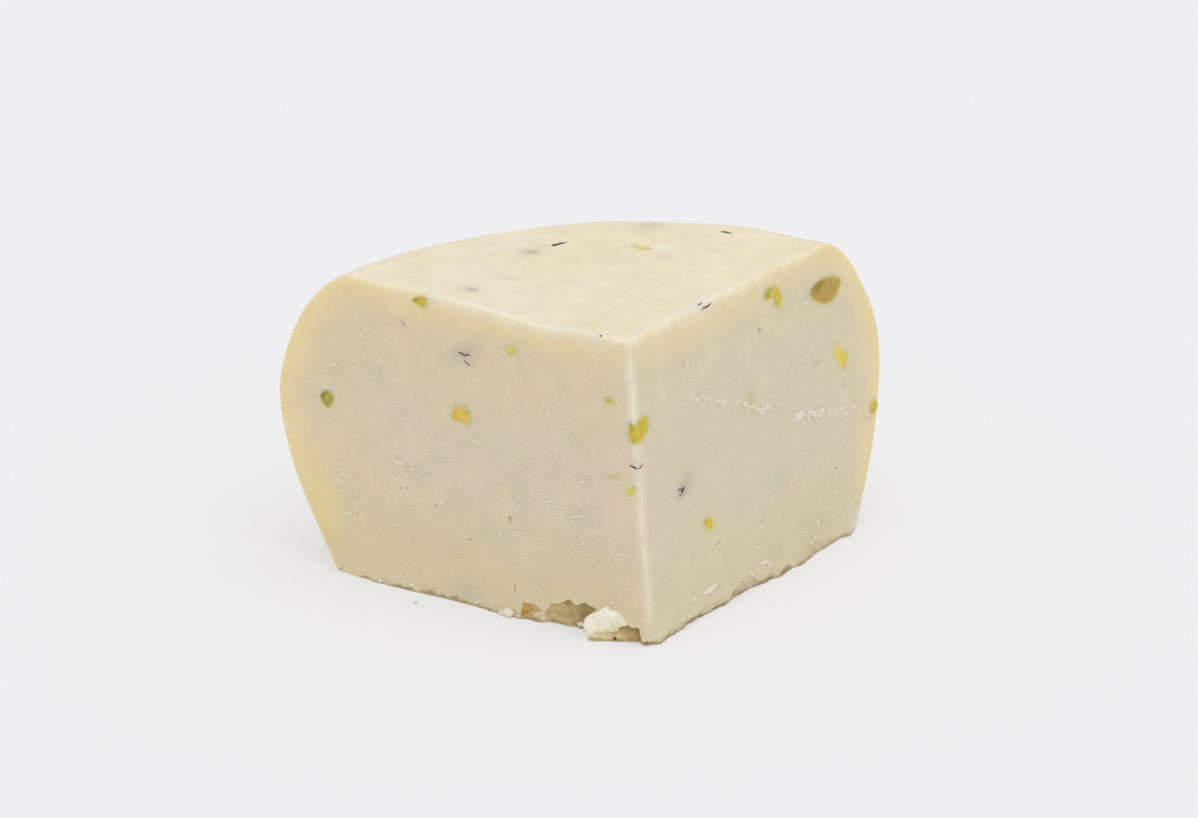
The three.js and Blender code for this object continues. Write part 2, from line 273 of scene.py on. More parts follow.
# Swells stretch the wheel sideways, and hollows of the top lower it.
def warp(points):
    x, y, z = points[..., 0], points[..., 1], points[..., 2]
    angle = np.arctan2(y, x)
    share = (x * x + y * y) / wheel["radius"] ** 2
    swell = sum(size * np.sin(turns * angle + lean * z + start)
                for size, turns, lean, start in wheel["swells"])
    drop = sum(depth * np.exp(-((x - hx) ** 2 + (y - hy) ** 2) / reach**2)
               for hx, hy, depth, reach in wheel["hollows"])
    upper = sum(size * np.exp(-(((np.degrees(angle) - bearing) / reach) ** 2))
                for size, bearing, reach in wheel["shoulderSwells"])
    stretch = 1 + (swell + upper * grown(z, *wheel["shoulderSwellsFoot"])) * share / wheel["radius"]
    sunk = drop * (z / wheel["shoulderTop"]) ** wheel["hollowPower"]
    lifted = np.where(z > wheel["widestHeight"], z - sunk, z)
    return np.stack([x * stretch, y * stretch, lifted], -1)


# The warp is so slight that taking its move away once undoes it.
def unwarp(points):
    return points - (warp(points) - points)


# How far the foot of a cut has broken back: its uneven line, and chips of noise.
def footRecess(name, along, height):
    line = np.array(relief[name])
    uneven = -np.interp(along, line[:, 0], line[:, 1]) * np.clip(1 - height / relief["footHeight"], 0, 1) ** 2
    seed = 40 if name == "left" else 60
    spot = np.stack([along, 0 * along, 0 * along], -1)
    low, high = relief["chipHeight"]
    tall = low + (high - low) * smooth(0.5 + 0.8 * cloud(spot, relief["chipLength"], seed))
    deep = relief["chipDepth"] * smooth(0.55 + 0.7 * cloud(spot, relief["chipLength"] * 0.8, seed + 7))
    fine = cloud(np.stack([along, height, 0 * along], -1), 1.2, seed + 3)
    return uneven + deep * smooth((tall - height) / 0.7 + 0.5 * fine)


# Waves are noise of several sizes, each times its height.
def waves(points, sizes, seed):
    return sum(height * noise(points, size, seed + k) for k, (size, height) in enumerate(sizes))


# Takes points of the clean surface to the real one: edges rounded, warped, then moved along the ways out.
def settle(points):
    outside, out = wheelDepth(points)
    moved = points.copy()
    inner = {name: cutDepth(cut, points) for name, cut in cuts.items()}
    outs = {name: np.broadcast_to(cut["out"], points.shape) for name, cut in cuts.items()}
    moved += roundEdge(points, inner["left"], outs["left"], inner["right"], outs["right"], relief["cutEdge"])
    upwards = grown(out[..., 2], *relief["topTurn"])
    rounding = relief["rimEdge"] + (relief["topEdge"] - relief["rimEdge"]) * upwards
    for name in cuts:
        high = smooth(points[..., 2] / relief["sharpFoot"])[..., None]
        moved += high * roundEdge(points, inner[name], outs[name], outside, out, rounding)
    moved = warp(moved)
    onRind = smooth(1 - outside / relief["wavesReach"])
    moved += out * (onRind * waves(points, relief["rindWaves"], 11)
                    * smooth(points[..., 2] / relief["rindFoot"]))[..., None]
    for name, cut in cuts.items():
        near = smooth(1 - inner[name] / relief["wavesReach"]) * smooth(outside / relief["wavesReach"])
        lift = near * waves(points, relief["cutWaves"], 21 if name == "left" else 31)
        along = (points - edgeFoot) @ cut["along"]
        lift = lift - smooth(1 - inner[name] / relief["footReach"]) * footRecess(name, along, points[..., 2])
        moved += (cut["out"] * (1, 1, 0)) * lift[..., None]
    away = np.hypot(*fromEdge(points)[..., :2].T).T
    low = np.clip(1 - points[..., 2] / relief["footHeight"], 0, 1) ** 1.5
    tip = relief["tipBack"] * low * np.exp(-((away / relief["tipWidth"]) ** 2))
    moved -= edgeOut * (1, 1, 0) * tip[..., None]
    moved[..., 2] = np.maximum(moved[..., 2], 0)
    return moved


# Faces of a grid whose columns close on themselves, with a fan to a pole at each end.
def closedFaces(rows, columns):
    here = np.arange(rows * columns).reshape(rows, columns)
    beside = np.roll(here, -1, axis=1)
    quads = np.stack([here[:-1], beside[:-1], beside[1:], here[1:]], -1).reshape(-1, 4)
    first, last = rows * columns, rows * columns + 1
    ends = [np.stack([np.full(columns, first), beside[0], here[0]], -1),
            np.stack([np.full(columns, last), here[-1], beside[-1]], -1)]
    return quads, np.concatenate(ends)


# A closed body from rings of points: (rows, columns, 3), counter-clockwise from outside, inner pole first.
def closedBody(rings, firstPole=None, lastPole=None):
    first = rings[0].mean(0) if firstPole is None else firstPole
    last = rings[-1].mean(0) if lastPole is None else lastPole
    quads, fans = closedFaces(*rings.shape[:2])
    return np.concatenate([rings.reshape(-1, 3), [first], [last]]), quads, fans


# Closed bodies as one, each one's faces counted on from the last one's points.
def joined(bodies):
    points, quads, fans, count = [], [], [], 0
    for body in bodies:
        points.append(body[0])
        quads.append(body[1] + count)
        fans.append(body[2] + count)
        count += len(body[0])
    return np.concatenate(points), np.concatenate(quads), np.concatenate(fans)


# Every piece keeps inside the CAD model's box, and only a body that cuts may reach past it.
def addMesh(name, body, inside=True):
    points, quads, fans = body
    mesh = bpy.data.meshes.new(name)
    placed = (points + np.array(wheel["axis"])) / 1000
    if inside:
        placed = np.clip(placed, *np.array([list(corner) for corner in cadBox]))
    mesh.from_pydata(placed.tolist(), [], quads.tolist() + fans.tolist())
    mesh.update()
    mesh.shade_smooth()
    piece = bpy.data.objects.new(name, mesh)
    bpy.context.scene.collection.objects.link(piece)
    return piece


# Gives each vertex a number, colour or vector.
def setAttribute(mesh, name, values, kind="FLOAT"):
    attribute = mesh.attributes.new(name, kind, "POINT")
    field = {"FLOAT": "value", "FLOAT_COLOR": "color", "FLOAT_VECTOR": "vector"}[kind]
    attribute.data.foreach_set(field, np.asarray(values, np.float32).ravel())


# Places of a mesh's vertices, field "co", or faces, field "center", in the wheel's millimetres.
def wheelPlaces(items, field):
    flat = np.zeros(len(items) * 3, np.float32)
    items.foreach_get(field, flat)
    return flat.reshape(-1, 3).astype(float) * 1000 - np.array(wheel["axis"])


# A finished piece has its material, rides on root and may stand for CAD nodes.
def finishPiece(piece, material, nodes=()):
    piece.data.materials.clear()
    piece.data.materials.append(material)
    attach(piece, "root")
    if nodes:
        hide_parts(*nodes)


# A point of the clean surface. On a cut: along and height. On the edge: across it, left is negative, and
# height. On the top: x and y. On the rind: bearing and height.
def cleanPoint(side, a, b):
    a, b = np.broadcast_arrays(np.asarray(a, float), np.asarray(b, float))
    if side == "edge":
        right = cutPoint(cuts["right"], np.abs(a), b)
        left = cutPoint(cuts["left"], np.abs(a), b)
        return np.where((a > 0)[..., None], right, left)
    if side in cuts:
        return cutPoint(cuts[side], a, b)
    if side == "top":
        distance = np.hypot(a, b)
        out = np.clip(1 - (wheel["radius"] - distance) / wheel["shoulderWidth"], 0, 1)
        fall = (1 - out ** wheel["shoulderPower"]) ** (1 / wheel["shoulderPower"])
        shoulder = wheel["widestHeight"] + (wheel["shoulderTop"] - wheel["widestHeight"]) * fall
        return np.stack([a, b, np.where(out > 0, shoulder, topHeight(distance))], -1)
    radius, turn = rindRadius(b), np.radians(a)
    return np.stack([radius * np.cos(turn), radius * np.sin(turn), b], -1)


# The way out of the clean surface at places on it.
def wayOut(side, a, b):
    if side == "edge":
        return np.broadcast_to(edgeOut, np.shape(a) + (3,))
    if side in cuts:
        return np.broadcast_to(cuts[side]["out"], np.shape(a) + (3,))
    return wheelDepth(cleanPoint(side, a, b))[1]


# Turns an outline in a surface's own two directions so that it runs counter-clockwise from outside.
def facing(side, outline):
    x, y = outline[:, 0], outline[:, 1]
    area = (x * np.roll(y, -1) - y * np.roll(x, -1)).sum()
    mirrored = side == "left"
    return outline[::-1] if (area < 0) != mirrored else outline


# A closed smooth line through a few points: a Catmull-Rom curve.
def smoothOutline(points, count):
    knots = np.asarray(points, float)
    share = np.linspace(0, len(knots), count, endpoint=False)
    k, t = np.floor(share).astype(int), (share % 1)[:, None]
    p0, p1, p2, p3 = (knots[(k + step) % len(knots)] for step in (-1, 0, 1, 2))
    return 0.5 * (2 * p1 + (p2 - p0) * t + (2 * p0 - 5 * p1 + 4 * p2 - p3) * t**2
                  + (3 * p1 - p0 - 3 * p2 + p3) * t**3)


# The way out of a cut, which turns from one cut's to the other's across the rounded long edge.
def turnedOut(across):
    share = np.clip(across / relief["cutEdge"], -1, 1)[..., None]
    beside = np.where(share > 0, cuts["right"]["out"], cuts["left"]["out"])
    out = edgeOut * (1 - np.abs(share)) + beside * np.abs(share)
    return out / np.linalg.norm(out, axis=-1)[..., None]


# A thin strip: a flattened tube along a path in the surface, tapered as sin(pi t)^0.6 to both ends. The
# path is one row of numbers, two for each place.
def strip(side, path, width, thick, rows=9, columns=8, proud=-0.2, lift=0.0):
    path = np.reshape(path, (-1, 2)).astype(float)
    step = np.concatenate([[0], np.cumsum(np.linalg.norm(np.diff(path, axis=0), axis=1))])
    share = np.linspace(0, 1, rows + 2)
    a, b = (np.interp(share * step[-1], step, path[:, k]) for k in (0, 1))
    line = settle(cleanPoint(side, a, b))
    out = turnedOut(a) if side == "edge" else wayOut(side, a, b)
    line = line + out * lift
    way = np.gradient(line, axis=0)
    way /= np.linalg.norm(way, axis=1)[:, None]
    over = np.cross(out, way)
    angle = np.linspace(0, 2 * math.pi, columns, endpoint=False)
    taper = (np.sin(math.pi * share[1:-1]) ** 0.6)[:, None, None]
    ring = over[1:-1, None] * np.cos(angle)[:, None] * width / 2
    ring = ring + out[1:-1, None] * np.sin(angle)[:, None] * thick / 2
    rings = line[1:-1, None] + ring * taper + out[1:-1, None] * (thick * proud)
    return closedBody(rings, line[0], line[-1])


# A pebble: an ellipsoid with half sizes along its three axes, its radius roughened by noise.
def pebble(centre, axes, sizes, seed, rows=5, columns=7, rough=0.25, grain=0.8):
    tall = np.linspace(-math.pi / 2, math.pi / 2, rows + 2)[1:-1, None]
    turn = np.linspace(0, 2 * math.pi, columns, endpoint=False)[None]
    ball = np.stack([np.cos(tall) * np.cos(turn), np.cos(tall) * np.sin(turn),
                     np.repeat(np.sin(tall), columns, 1)], -1)
    ends = np.array([[0, 0, -1.0], [0, 0, 1.0]])

    def placed(points):
        radius = 1 + rough * cloud(points + seed * 3.7, grain, seed)
        return centre + (points * radius[..., None] * sizes) @ axes

    first, last = placed(ends)
    return closedBody(placed(ball), first, last)


# The surface's own directions at a place, turned by a tilt in degrees: along, across and out.
def surfaceAxes(side, a, b, tilt=0.0):
    out = wayOut(side, np.array([float(a)]), np.array([float(b)]))[0]
    here, beside = cleanPoint(side, np.array([a, a + 0.1]), np.array([b, b]))
    first = beside - here
    first -= out * (first @ out)
    first /= np.linalg.norm(first)
    second = np.cross(out, first)
    if side == "left":
        tilt = -tilt
    turn = math.radians(tilt)
    along = first * math.cos(turn) + second * math.sin(turn)
    return np.array([along, np.cross(out, along), out])


floorGap = 0.04  # what is added to the cheese or laid on it keeps this far over the floor


# A pebble set in the surface: its middle stands out by a distance, and its halves lie along, across, out.
def pebbleOn(side, a, b, out, halves, tilt, seed, **shape):
    axes = surfaceAxes(side, a, b, tilt)
    centre = settle(cleanPoint(side, np.array([float(a)]), np.array([float(b)])))[0] + axes[2] * out
    points, quads, fans = pebble(centre, axes, np.array(halves), seed, **shape)
    points[:, 2] = np.maximum(points[:, 2], floorGap)
    return points, quads, fans


# An outline of evenly spaced points, made ragged by noise, and its middle.
def raggedOutline(side, outline, ragged, seed, count):
    knots = np.array(outline + outline[:1], float)
    step = np.concatenate([[0], np.cumsum(np.linalg.norm(np.diff(knots, axis=0), axis=1))])
    spot = np.linspace(0, step[-1], count, endpoint=False)
    line = np.stack([np.interp(spot, step, knots[:, k]) for k in (0, 1)], -1)
    flat = np.concatenate([line, 0 * line[:, :1]], -1)
    line += ragged * np.stack([cloud(flat, 1.3, seed), cloud(flat, 1.3, seed + 5)], -1)
    return facing(side, line), line.mean(0)


hollowShape = {
    "ragged": 0.22, "columns": 210, "rings": 12,
    "power": 2.6,  # the higher, the steeper its walls
    "deepest": 0.97,  # of the depth, where the first ring lies
    "above": (-1, -4),  # depths of the last two rings, which stand clear of the cut
    "roughness": 0.5,
}


# A torn hollow in a cut: its ragged outline shrinks by (1 - q^p)^(1/p) while it goes q deep.
def hollow(side, outline, deep, seed):
    line, middle = raggedOutline(side, outline, hollowShape["ragged"], seed, hollowShape["columns"])
    q, power = np.linspace(hollowShape["deepest"], 0, hollowShape["rings"]), hollowShape["power"]
    shrink = np.concatenate([(1 - q**power) ** (1 / power), [1, 1]])
    depth = np.concatenate([q * deep, hollowShape["above"]])
    spots = middle + (line - middle) * shrink[:, None, None]
    rings = cleanPoint(side, spots[..., 0], spots[..., 1])
    rough = hollowShape["roughness"] * cloud(rings, 2.0, seed + 9) * np.clip(depth, 0, 1)[:, None]
    rings += wayOut(side, spots[..., 0], spots[..., 1]) * (rough - depth[:, None])[..., None]
    return closedBody(rings)


slabShape = {
    "ragged": 0.22, "columns": 150, "faceRings": 14,
    "backRings": (0.5, 0.97, 1.0),  # shares of the outline behind the face
    "dropPower": 5,
}


# A slab that broke forward: its outline lies in the cut, and its face stands out by a plane's height,
# out = start + along (a - a0) + up (b - b0), less drop s^5 towards the outline, s from 0 to 1.
def slab(side, outline, plane, drop, seed, rough=0.2):
    line, middle = raggedOutline(side, outline, slabShape["ragged"], seed, slabShape["columns"])
    start, slopeAlong, slopeUp, a0, b0, behind = plane
    share = np.concatenate([slabShape["backRings"], np.linspace(1, 0, slabShape["faceRings"])[:-1]])
    spots = middle + (line - middle) * share[:, None, None]
    a, b = spots[..., 0], spots[..., 1]
    fall = drop * share[:, None] ** slabShape["dropPower"]
    face = start + slopeAlong * (a - a0) + slopeUp * (b - b0) - fall
    flat = np.stack([a, b, 0 * a], -1)
    face = face + rough * cloud(flat, 2.6, seed + 20, 2) + 0.3 * rough * cloud(flat, 0.9, seed + 30, 2)
    back = np.arange(len(share))[:, None] < len(slabShape["backRings"])
    height = np.where(back, -behind, face)
    rings = cleanPoint(side, a, b) + wayOut(side, a, b) * height[..., None]
    rings[..., 2] = np.maximum(rings[..., 2], floorGap * (1 + share[:, None] / 2))
    return closedBody(rings)


# Outlines are in millimetres from the middle, on the surface's own two directions. Sink is how far the
# cut section lies under the cheese, and a dome stands above that. Soft is the width of the outline's fade
# towards the paste. Second is a colour of one end, which lies towards the given direction.
kernelPieces = {
    "kernel_right_large": {
        "side": "right", "at": (78.6, 59.9), "deep": 3.2, "dome": 0.12,
        "outline": [(-6.8, 0.9), (-5.4, -0.9), (-3.2, -2.3), (-1, -3.2), (1.6, -3.4), (4, -2.6),
            (5.7, -1.3), (6.8, 0.5), (6, 1.5), (3.5, 2.6), (-0.5, 3.4), (-3.7, 3.2), (-5.8, 2.3)],
        "core": (0.53, 0.355, 0.06), "rim": (0.66, 0.48, 0.04), "rimWidth": 0.22,
        "second": (0.31, 0.225, 0.03), "towards": (-0.5, 1), "secondShare": 0.42},
    "kernel_right_upper": {
        "side": "right", "at": (56.8, 64.6), "deep": 2.2, "dome": 0.06, "soft": 0.25,
        "outline": [(-4.2, 0.8), (-3.1, 2.2), (-1.2, 2.8), (1, 2.2), (2.9, 0.9), (3.9, -1.2), (3.2, -3.4),
            (1.5, -3.4), (0.6, -1.4), (-0.4, 0), (-2.2, -0.2)],
        "core": (0.7, 0.53, 0.074), "rim": (0.76, 0.6, 0.081), "rimWidth": 0.4,
        "second": (0.46, 0.42, 0.056), "towards": (-1, 0.4), "secondShare": 0.5},
    "kernel_right_outer": {
        "side": "right", "at": (81.9, 42.7), "deep": 2, "dome": 0.06, "soft": 0.3,
        "outline": [(-2.2, 2.8), (-1.6, 3.6), (-0.9, 3.7), (0.2, 2.6), (1, 1.1), (1.7, 0.4), (3, 0.3),
            (3, -1), (2.3, -2.4), (1.2, -3), (-0.2, -2.5), (-1.1, -1.3), (-2.3, 0.2), (-2.6, 1.7)],
        "core": (0.78, 0.64, 0.093), "rim": (0.82, 0.68, 0.118), "second": (0.84, 0.56, 0.068),
        "towards": (0.3, -1), "secondShare": 0.55},
    "kernel_right_low": {
        "side": "right", "at": (25, 20.9), "deep": 1.6, "dome": 0.06, "soft": 0.4,
        "outline": [(-2.1, 0.8), (-1.1, 1.6), (1, 1.1), (2.3, -0.2), (1.9, -1.4), (0.1, -1.9), (-1.3, -0.6)],
        "core": (0.7, 0.56, 0.062), "rim": (0.76, 0.63, 0.093), "second": (0.4, 0.34, 0.031),
        "towards": (-1, 0.1), "secondShare": 0.35},
    "kernel_right_rim": {
        "side": "right", "at": (94.2, 27), "deep": 1.6, "sink": -0.15, "dome": 0.45,
        "outline": [(-1.4, -0.3), (-0.9, 1.3), (0.2, 1.7), (1.4, 1), (1.5, -0.3), (0.3, -1.6), (-1, -1.2)],
        "core": (0.66, 0.52, 0.062), "rim": (0.74, 0.52, 0.074), "rimWidth": 0.4,
        "second": (0.82, 0.78, 0.397), "towards": (-1, 0.3), "secondShare": 0.3},
    "kernel_right_edge": {
        "side": "edge", "at": (1.7, 49.7), "deep": 2.6, "dome": 0.1,
        "outline": [(-3.2, 2), (-3.5, 0.4), (-3.5, -1.2), (-3.1, -2.5), (-1.7, -2.7), (0, -2.6),
            (1.2, -1.9), (2.6, -0.9), (3.3, 0.1), (3.6, 1.2), (3.1, 2.6), (1, 2.8), (-0.5, 2.5),
            (-1.5, 1.5), (-2.4, 1.9)],
        "core": (0.66, 0.52, 0.053), "rim": (0.72, 0.58, 0.068), "second": (0.42, 0.36, 0.037),
        "towards": (-0.6, 1), "secondShare": 0.4},
    "kernel_left_middle": {
        "side": "left", "at": (45.9, 44.8), "deep": 2, "dome": 0.06, "soft": 0.32,
        "outline": [(2.9, -1.1), (1.9, 1), (0.3, 1.9), (-1.9, 1.7), (-2.7, 0.2), (-2.2, -1.7), (0.4, -2),
            (2.2, -1.7)],
        "core": (0.8, 0.59, 0.1), "rim": (0.7, 0.56, 0.1), "second": (0.84, 0.5, 0.07), "towards": (1, 0.1),
        "secondShare": 0.5},
    "kernel_left_outer": {
        "side": "left", "at": (82.4, 41.1), "deep": 2, "dome": 0.25, "soft": 0.22,
        "outline": [(1.7, 0.1), (1.2, 1.4), (-0.8, 2.1), (-2.1, 0.9), (-1.8, -0.4), (-0.4, -1.9), (1, -1.5)],
        "core": (0.46, 0.41, 0.062), "rim": (0.5, 0.47, 0.043), "rimWidth": 0.25,
        "second": (0.2, 0.19, 0.022), "towards": (0.7, 0.8), "secondShare": 0.45},
    "kernel_left_top": {
        "side": "left", "at": (54.1, 69), "deep": 1.5, "dome": 0.05,
        "outline": [(2.3, 0), (0.9, 0.9), (-1.3, 1.2), (-1.8, 0.3), (-1.1, -1.1), (-0.1, -1.2), (1.2, -0.7)],
        "core": (0.7, 0.55, 0.05), "rim": (0.72, 0.6, 0.062), "second": (0.44, 0.36, 0.037),
        "towards": (1, 0.8), "secondShare": 0.4},
    "kernel_left_high": {
        "side": "left", "at": (31.1, 62.8), "deep": 1.3, "dome": 0.04, "soft": 0.6,
        "outline": [(1.9, 0), (1, 0.6), (-0.1, 0.8), (-1.5, 0.6), (-1.8, -0.1), (-0.2, -1.2), (0.9, -1.1)],
        "core": (0.79, 0.63, 0.118), "rim": (0.78, 0.63, 0.099), "second": (0.72, 0.5, 0.062),
        "towards": (-0.2, -1), "secondShare": 0.3},
    "kernel_left_low": {
        "side": "left", "at": (2.4, 36.2), "deep": 1, "dome": 0.05, "soft": 0.25,
        "outline": [(1.1, -0.1), (0.7, 0.8), (-0.1, 1.2), (-1.1, 0.7), (-1.1, -0.3), (-0.2, -1.1), (0.7, -1)],
        "core": (0.79, 0.7, 0.081), "rim": (0.8, 0.7, 0.124), "second": (0.55, 0.46, 0.05),
        "towards": (1, 0.8), "secondShare": 0.3},
    "kernel_left_sliver": {
        "side": "left", "at": (5.9, 55.8), "deep": 0.9, "dome": 0.03, "soft": 0.8,
        "outline": [(1.4, 0.3), (0.6, 0.8), (-0.6, 0.7), (-1.3, 0.1), (-0.6, -0.7), (0.6, -0.8), (1.2, -0.4)],
        "core": (0.72, 0.62, 0.124), "rim": (0.76, 0.66, 0.198), "rimWidth": 0.5,
        "second": (0.78, 0.69, 0.223), "towards": (1, 0.2), "secondShare": 0.3},
    "kernel_top_first": {
        "side": "top", "at": (10.7, 64.3), "deep": 1.2, "dome": 0.05, "soft": 0.3,
        "outline": [(-2.1, 1.3), (-0.9, 1.6), (0.4, 0.6), (1.9, 0), (1.9, -1.3), (0.4, -1.4), (-1.2, -0.6)],
        "core": (0.78, 0.68, 0.124), "rim": (0.82, 0.71, 0.186), "rimWidth": 0.4,
        "second": (0.6, 0.52, 0.087), "towards": (-1, 0.2), "secondShare": 0.25},
    "kernel_rind_right": {
        "side": "rind", "at": (78, 33), "deep": 1.8, "sink": -0.05, "dome": 0.3,
        "outline": [(-1.4, -0.7), (-0.5, 1.2), (0.6, 1.7), (1.4, 0.8), (0.6, -1), (-0.6, -1.7)],
        "core": (0.66, 0.52, 0.062), "rim": (0.74, 0.56, 0.087), "second": (0.44, 0.36, 0.037),
        "towards": (-1, 0.5), "secondShare": 0.4},
    "kernel_rind_left": {
        "side": "rind", "at": (116, 52), "deep": 1.8, "sink": -0.05, "dome": 0.3,
        "outline": [(-1.3, 0.8), (-0.2, 1.6), (0.8, 1.2), (1.3, -0.6), (0.3, -1.6), (-0.9, -0.9)],
        "core": (0.58, 0.48, 0.056), "rim": (0.64, 0.55, 0.062), "rimWidth": 0.35,
        "second": (0.34, 0.28, 0.031), "towards": (0.8, 0.6), "secondShare": 0.4},
}
usualKernel = {"sink": 0, "rimWidth": 0.3, "soft": 0.12}
for kernel in kernelPieces.values():
    for key, value in usualKernel.items():
        kernel.setdefault(key, value)
kernelShape = {
    "columns": 48, "faceRings": 9, "bodyRings": 9, "gap": 0.008, "pocketRise": 1.4,
    "deepest": 0.98,  # of the depth, where the body's first ring lies
    "rimRing": 0.28,  # millimetres from the outline to the next ring of the section
    "fadeTint": (0.80, 0.70, 0.38), "fadeShare": 0.7,  # of the very edge, towards the paste
    "raggedness": 0.13, "faceRoughness": 0.05,
    "sharpAngle": 50,  # the rim of the section stays crisp
    "rimWobble": 0.12, "secondWobble": 0.25,  # how far noise moves where the rim and second colours start
    "secondWidth": 0.7,  # of the way from one colour to the second
    "secondMost": (0.6, 0.85),  # share of the second colour at its end, for small and large shares of it
    "patches": 0.13,  # lighter and darker
}


# A kernel: its cut section is the outline drawn in to the middle, its body the outline drawn in by
# (1 - q^2)^0.5 while it goes q deep. With a gap it is the pocket's cutter, which goes on above the cheese.
def kernelBody(kernel, gap=0.0):
    middle = np.array(kernel["at"], float)
    line = smoothOutline(kernel["outline"], kernelShape["columns"])
    flat = np.concatenate([line, np.full((len(line), 1), kernel["at"][0])], -1)
    line += kernelShape["raggedness"] * np.stack([cloud(flat, 0.9, 81), cloud(flat, 0.9, 86)], -1)
    line *= 1 + gap / np.linalg.norm(line, axis=1).mean()
    line = facing(kernel["side"], line)
    q = np.linspace(kernelShape["deepest"], 0, kernelShape["bodyRings"])
    if gap:
        lastShare, lastDepth = [1.0], [-kernelShape["pocketRise"] - max(0, -kernel["sink"])]
    else:
        inside = 1 - kernelShape["rimRing"] / np.linalg.norm(line, axis=1).mean()
        lastShare = np.linspace(inside, 0, kernelShape["faceRings"])[:-1]
        lastDepth = 0 * lastShare
    ringScale = np.concatenate([np.sqrt(1 - q**2), lastShare])
    depth = np.concatenate([q * (kernel["deep"] + gap), lastDepth])
    spots = middle + line[None] * ringScale[:, None, None]
    clean = cleanPoint(kernel["side"], spots[..., 0], spots[..., 1])
    surface = settle(clean)
    out = wayOut(kernel["side"], spots[..., 0], spots[..., 1])
    sunk = depth + (0 if gap and kernel["sink"] < 0 else kernel["sink"])
    rings = surface - out * sunk[:, None, None]
    if not gap:
        onFace = (depth == 0)[:, None]
        face = onFace * (1 - ringScale[:, None] ** 2) * kernel["dome"]
        roughness = onFace * kernelShape["faceRoughness"] * (ringScale[:, None] < 0.99)
        rough = roughness * noise(rings, 0.9, 5)
        rings = rings + out * (face + rough)[..., None]
    return closedBody(rings), ringScale, depth


# Colour of a kernel: its core, a brighter rim, and a second colour towards one side.
def kernelColours(kernel, piece, ringScale, depth):
    columns = kernelShape["columns"]
    share = np.repeat(np.where(depth > 0, 1, ringScale)[:, None], columns, 1).ravel()
    share = np.concatenate([share, [1, 0]])
    points = wheelPlaces(piece.data.vertices, "co")
    wobble = cloud(points, 1.4, 71)
    rimStart = 1 - kernel["rimWidth"] * 1.3 - kernelShape["rimWobble"] * wobble
    rim = grown(share, rimStart, kernel["rimWidth"])[:, None]
    colour = np.array(kernel["core"]) * (1 - rim) + np.array(kernel["rim"]) * rim
    line = facing(kernel["side"], smoothOutline(kernel["outline"], columns))
    spots = (line[None] * ringScale[:, None, None]).reshape(-1, 2)
    spots = np.concatenate([spots, [[0, 0], [0, 0]]])
    towards = np.array(kernel["towards"]) / np.linalg.norm(kernel["towards"])
    reach = np.abs(line @ towards).max()
    leanStart = 1 - 2 * kernel["secondShare"] - kernelShape["secondWobble"] * wobble
    lean = grown(spots @ towards / reach, leanStart, kernelShape["secondWidth"])[:, None]
    lean = lean * kernelShape["secondMost"][int(kernel["secondShare"] > 0.3)]
    colour = colour * (1 - lean) + np.array(kernel["second"]) * lean
    colour = colour * (1 + kernelShape["patches"] * cloud(points, 0.8, 77))[:, None]
    soft = kernel["soft"]
    fade = kernelShape["fadeShare"] * smooth((share - 1 + soft + 0.4 * soft * wobble) / soft)[:, None]
    colour = colour * (1 - fade) + np.array(kernelShape["fadeTint"]) * fade
    return np.concatenate([colour, np.ones((len(colour), 1))], -1)


def newMaterial(name):
    material = bpy.data.materials.new(name)
    material.use_nodes = True
    material.node_tree.nodes.clear()
    return material, material.node_tree


def addNode(tree, kind, values=None, **settings):
    made = tree.nodes.new(kind)
    for key, value in settings.items():
        setattr(made, key, value)
    for key, value in (values or {}).items():
        if isinstance(value, bpy.types.NodeSocket):
            tree.links.new(value, made.inputs[key])
        else:
            made.inputs[key].default_value = value
    return made


def opaque(colour):
    return (*colour, 1.0)


def noiseNode(tree, coords, scale, detail=3.0, roughness=0.55, distortion=0.0):
    values = {"Vector": coords, "Scale": scale, "Detail": detail, "Roughness": roughness,
              "Distortion": distortion}
    return addNode(tree, "ShaderNodeTexNoise", values).outputs["Fac"]


# Goes from start to end as the value goes from low to high.
def rangeNode(tree, value, low, high, start=0.0, end=1.0):
    values = {"Value": value, "From Min": low, "From Max": high, "To Min": start, "To Max": end}
    return addNode(tree, "ShaderNodeMapRange", values).outputs["Result"]


def mixNode(tree, share, first, second, blend="MIX"):
    made = addNode(tree, "ShaderNodeMix", data_type="RGBA", blend_type=blend)
    for socket, value in ((made.inputs[0], share), (made.inputs[6], first), (made.inputs[7], second)):
        if isinstance(value, bpy.types.NodeSocket):
            tree.links.new(value, socket)
        else:
            socket.default_value = value
    return made.outputs[2]


# A colour times a grey tone.
def toned(tree, colour, tone):
    grey = addNode(tree, "ShaderNodeCombineColor", {"Red": tone, "Green": tone, "Blue": tone})
    return mixNode(tree, 1.0, colour, grey.outputs[0], "MULTIPLY")


def mathNode(tree, operation, first, second=0.0):
    return addNode(tree, "ShaderNodeMath", {0: first, 1: second}, operation=operation).outputs[0]


def attributeNode(tree, name):
    return addNode(tree, "ShaderNodeAttribute", attribute_name=name)


def bumpNode(tree, height, strength, distance, before=None):
    values = {"Height": height, "Strength": strength, "Distance": distance}
    if before is not None:
        values["Normal"] = before
    return addNode(tree, "ShaderNodeBump", values).outputs["Normal"]


def finishMaterial(tree, shader):
    addNode(tree, "ShaderNodeOutputMaterial", {"Surface": shader.outputs[0]})


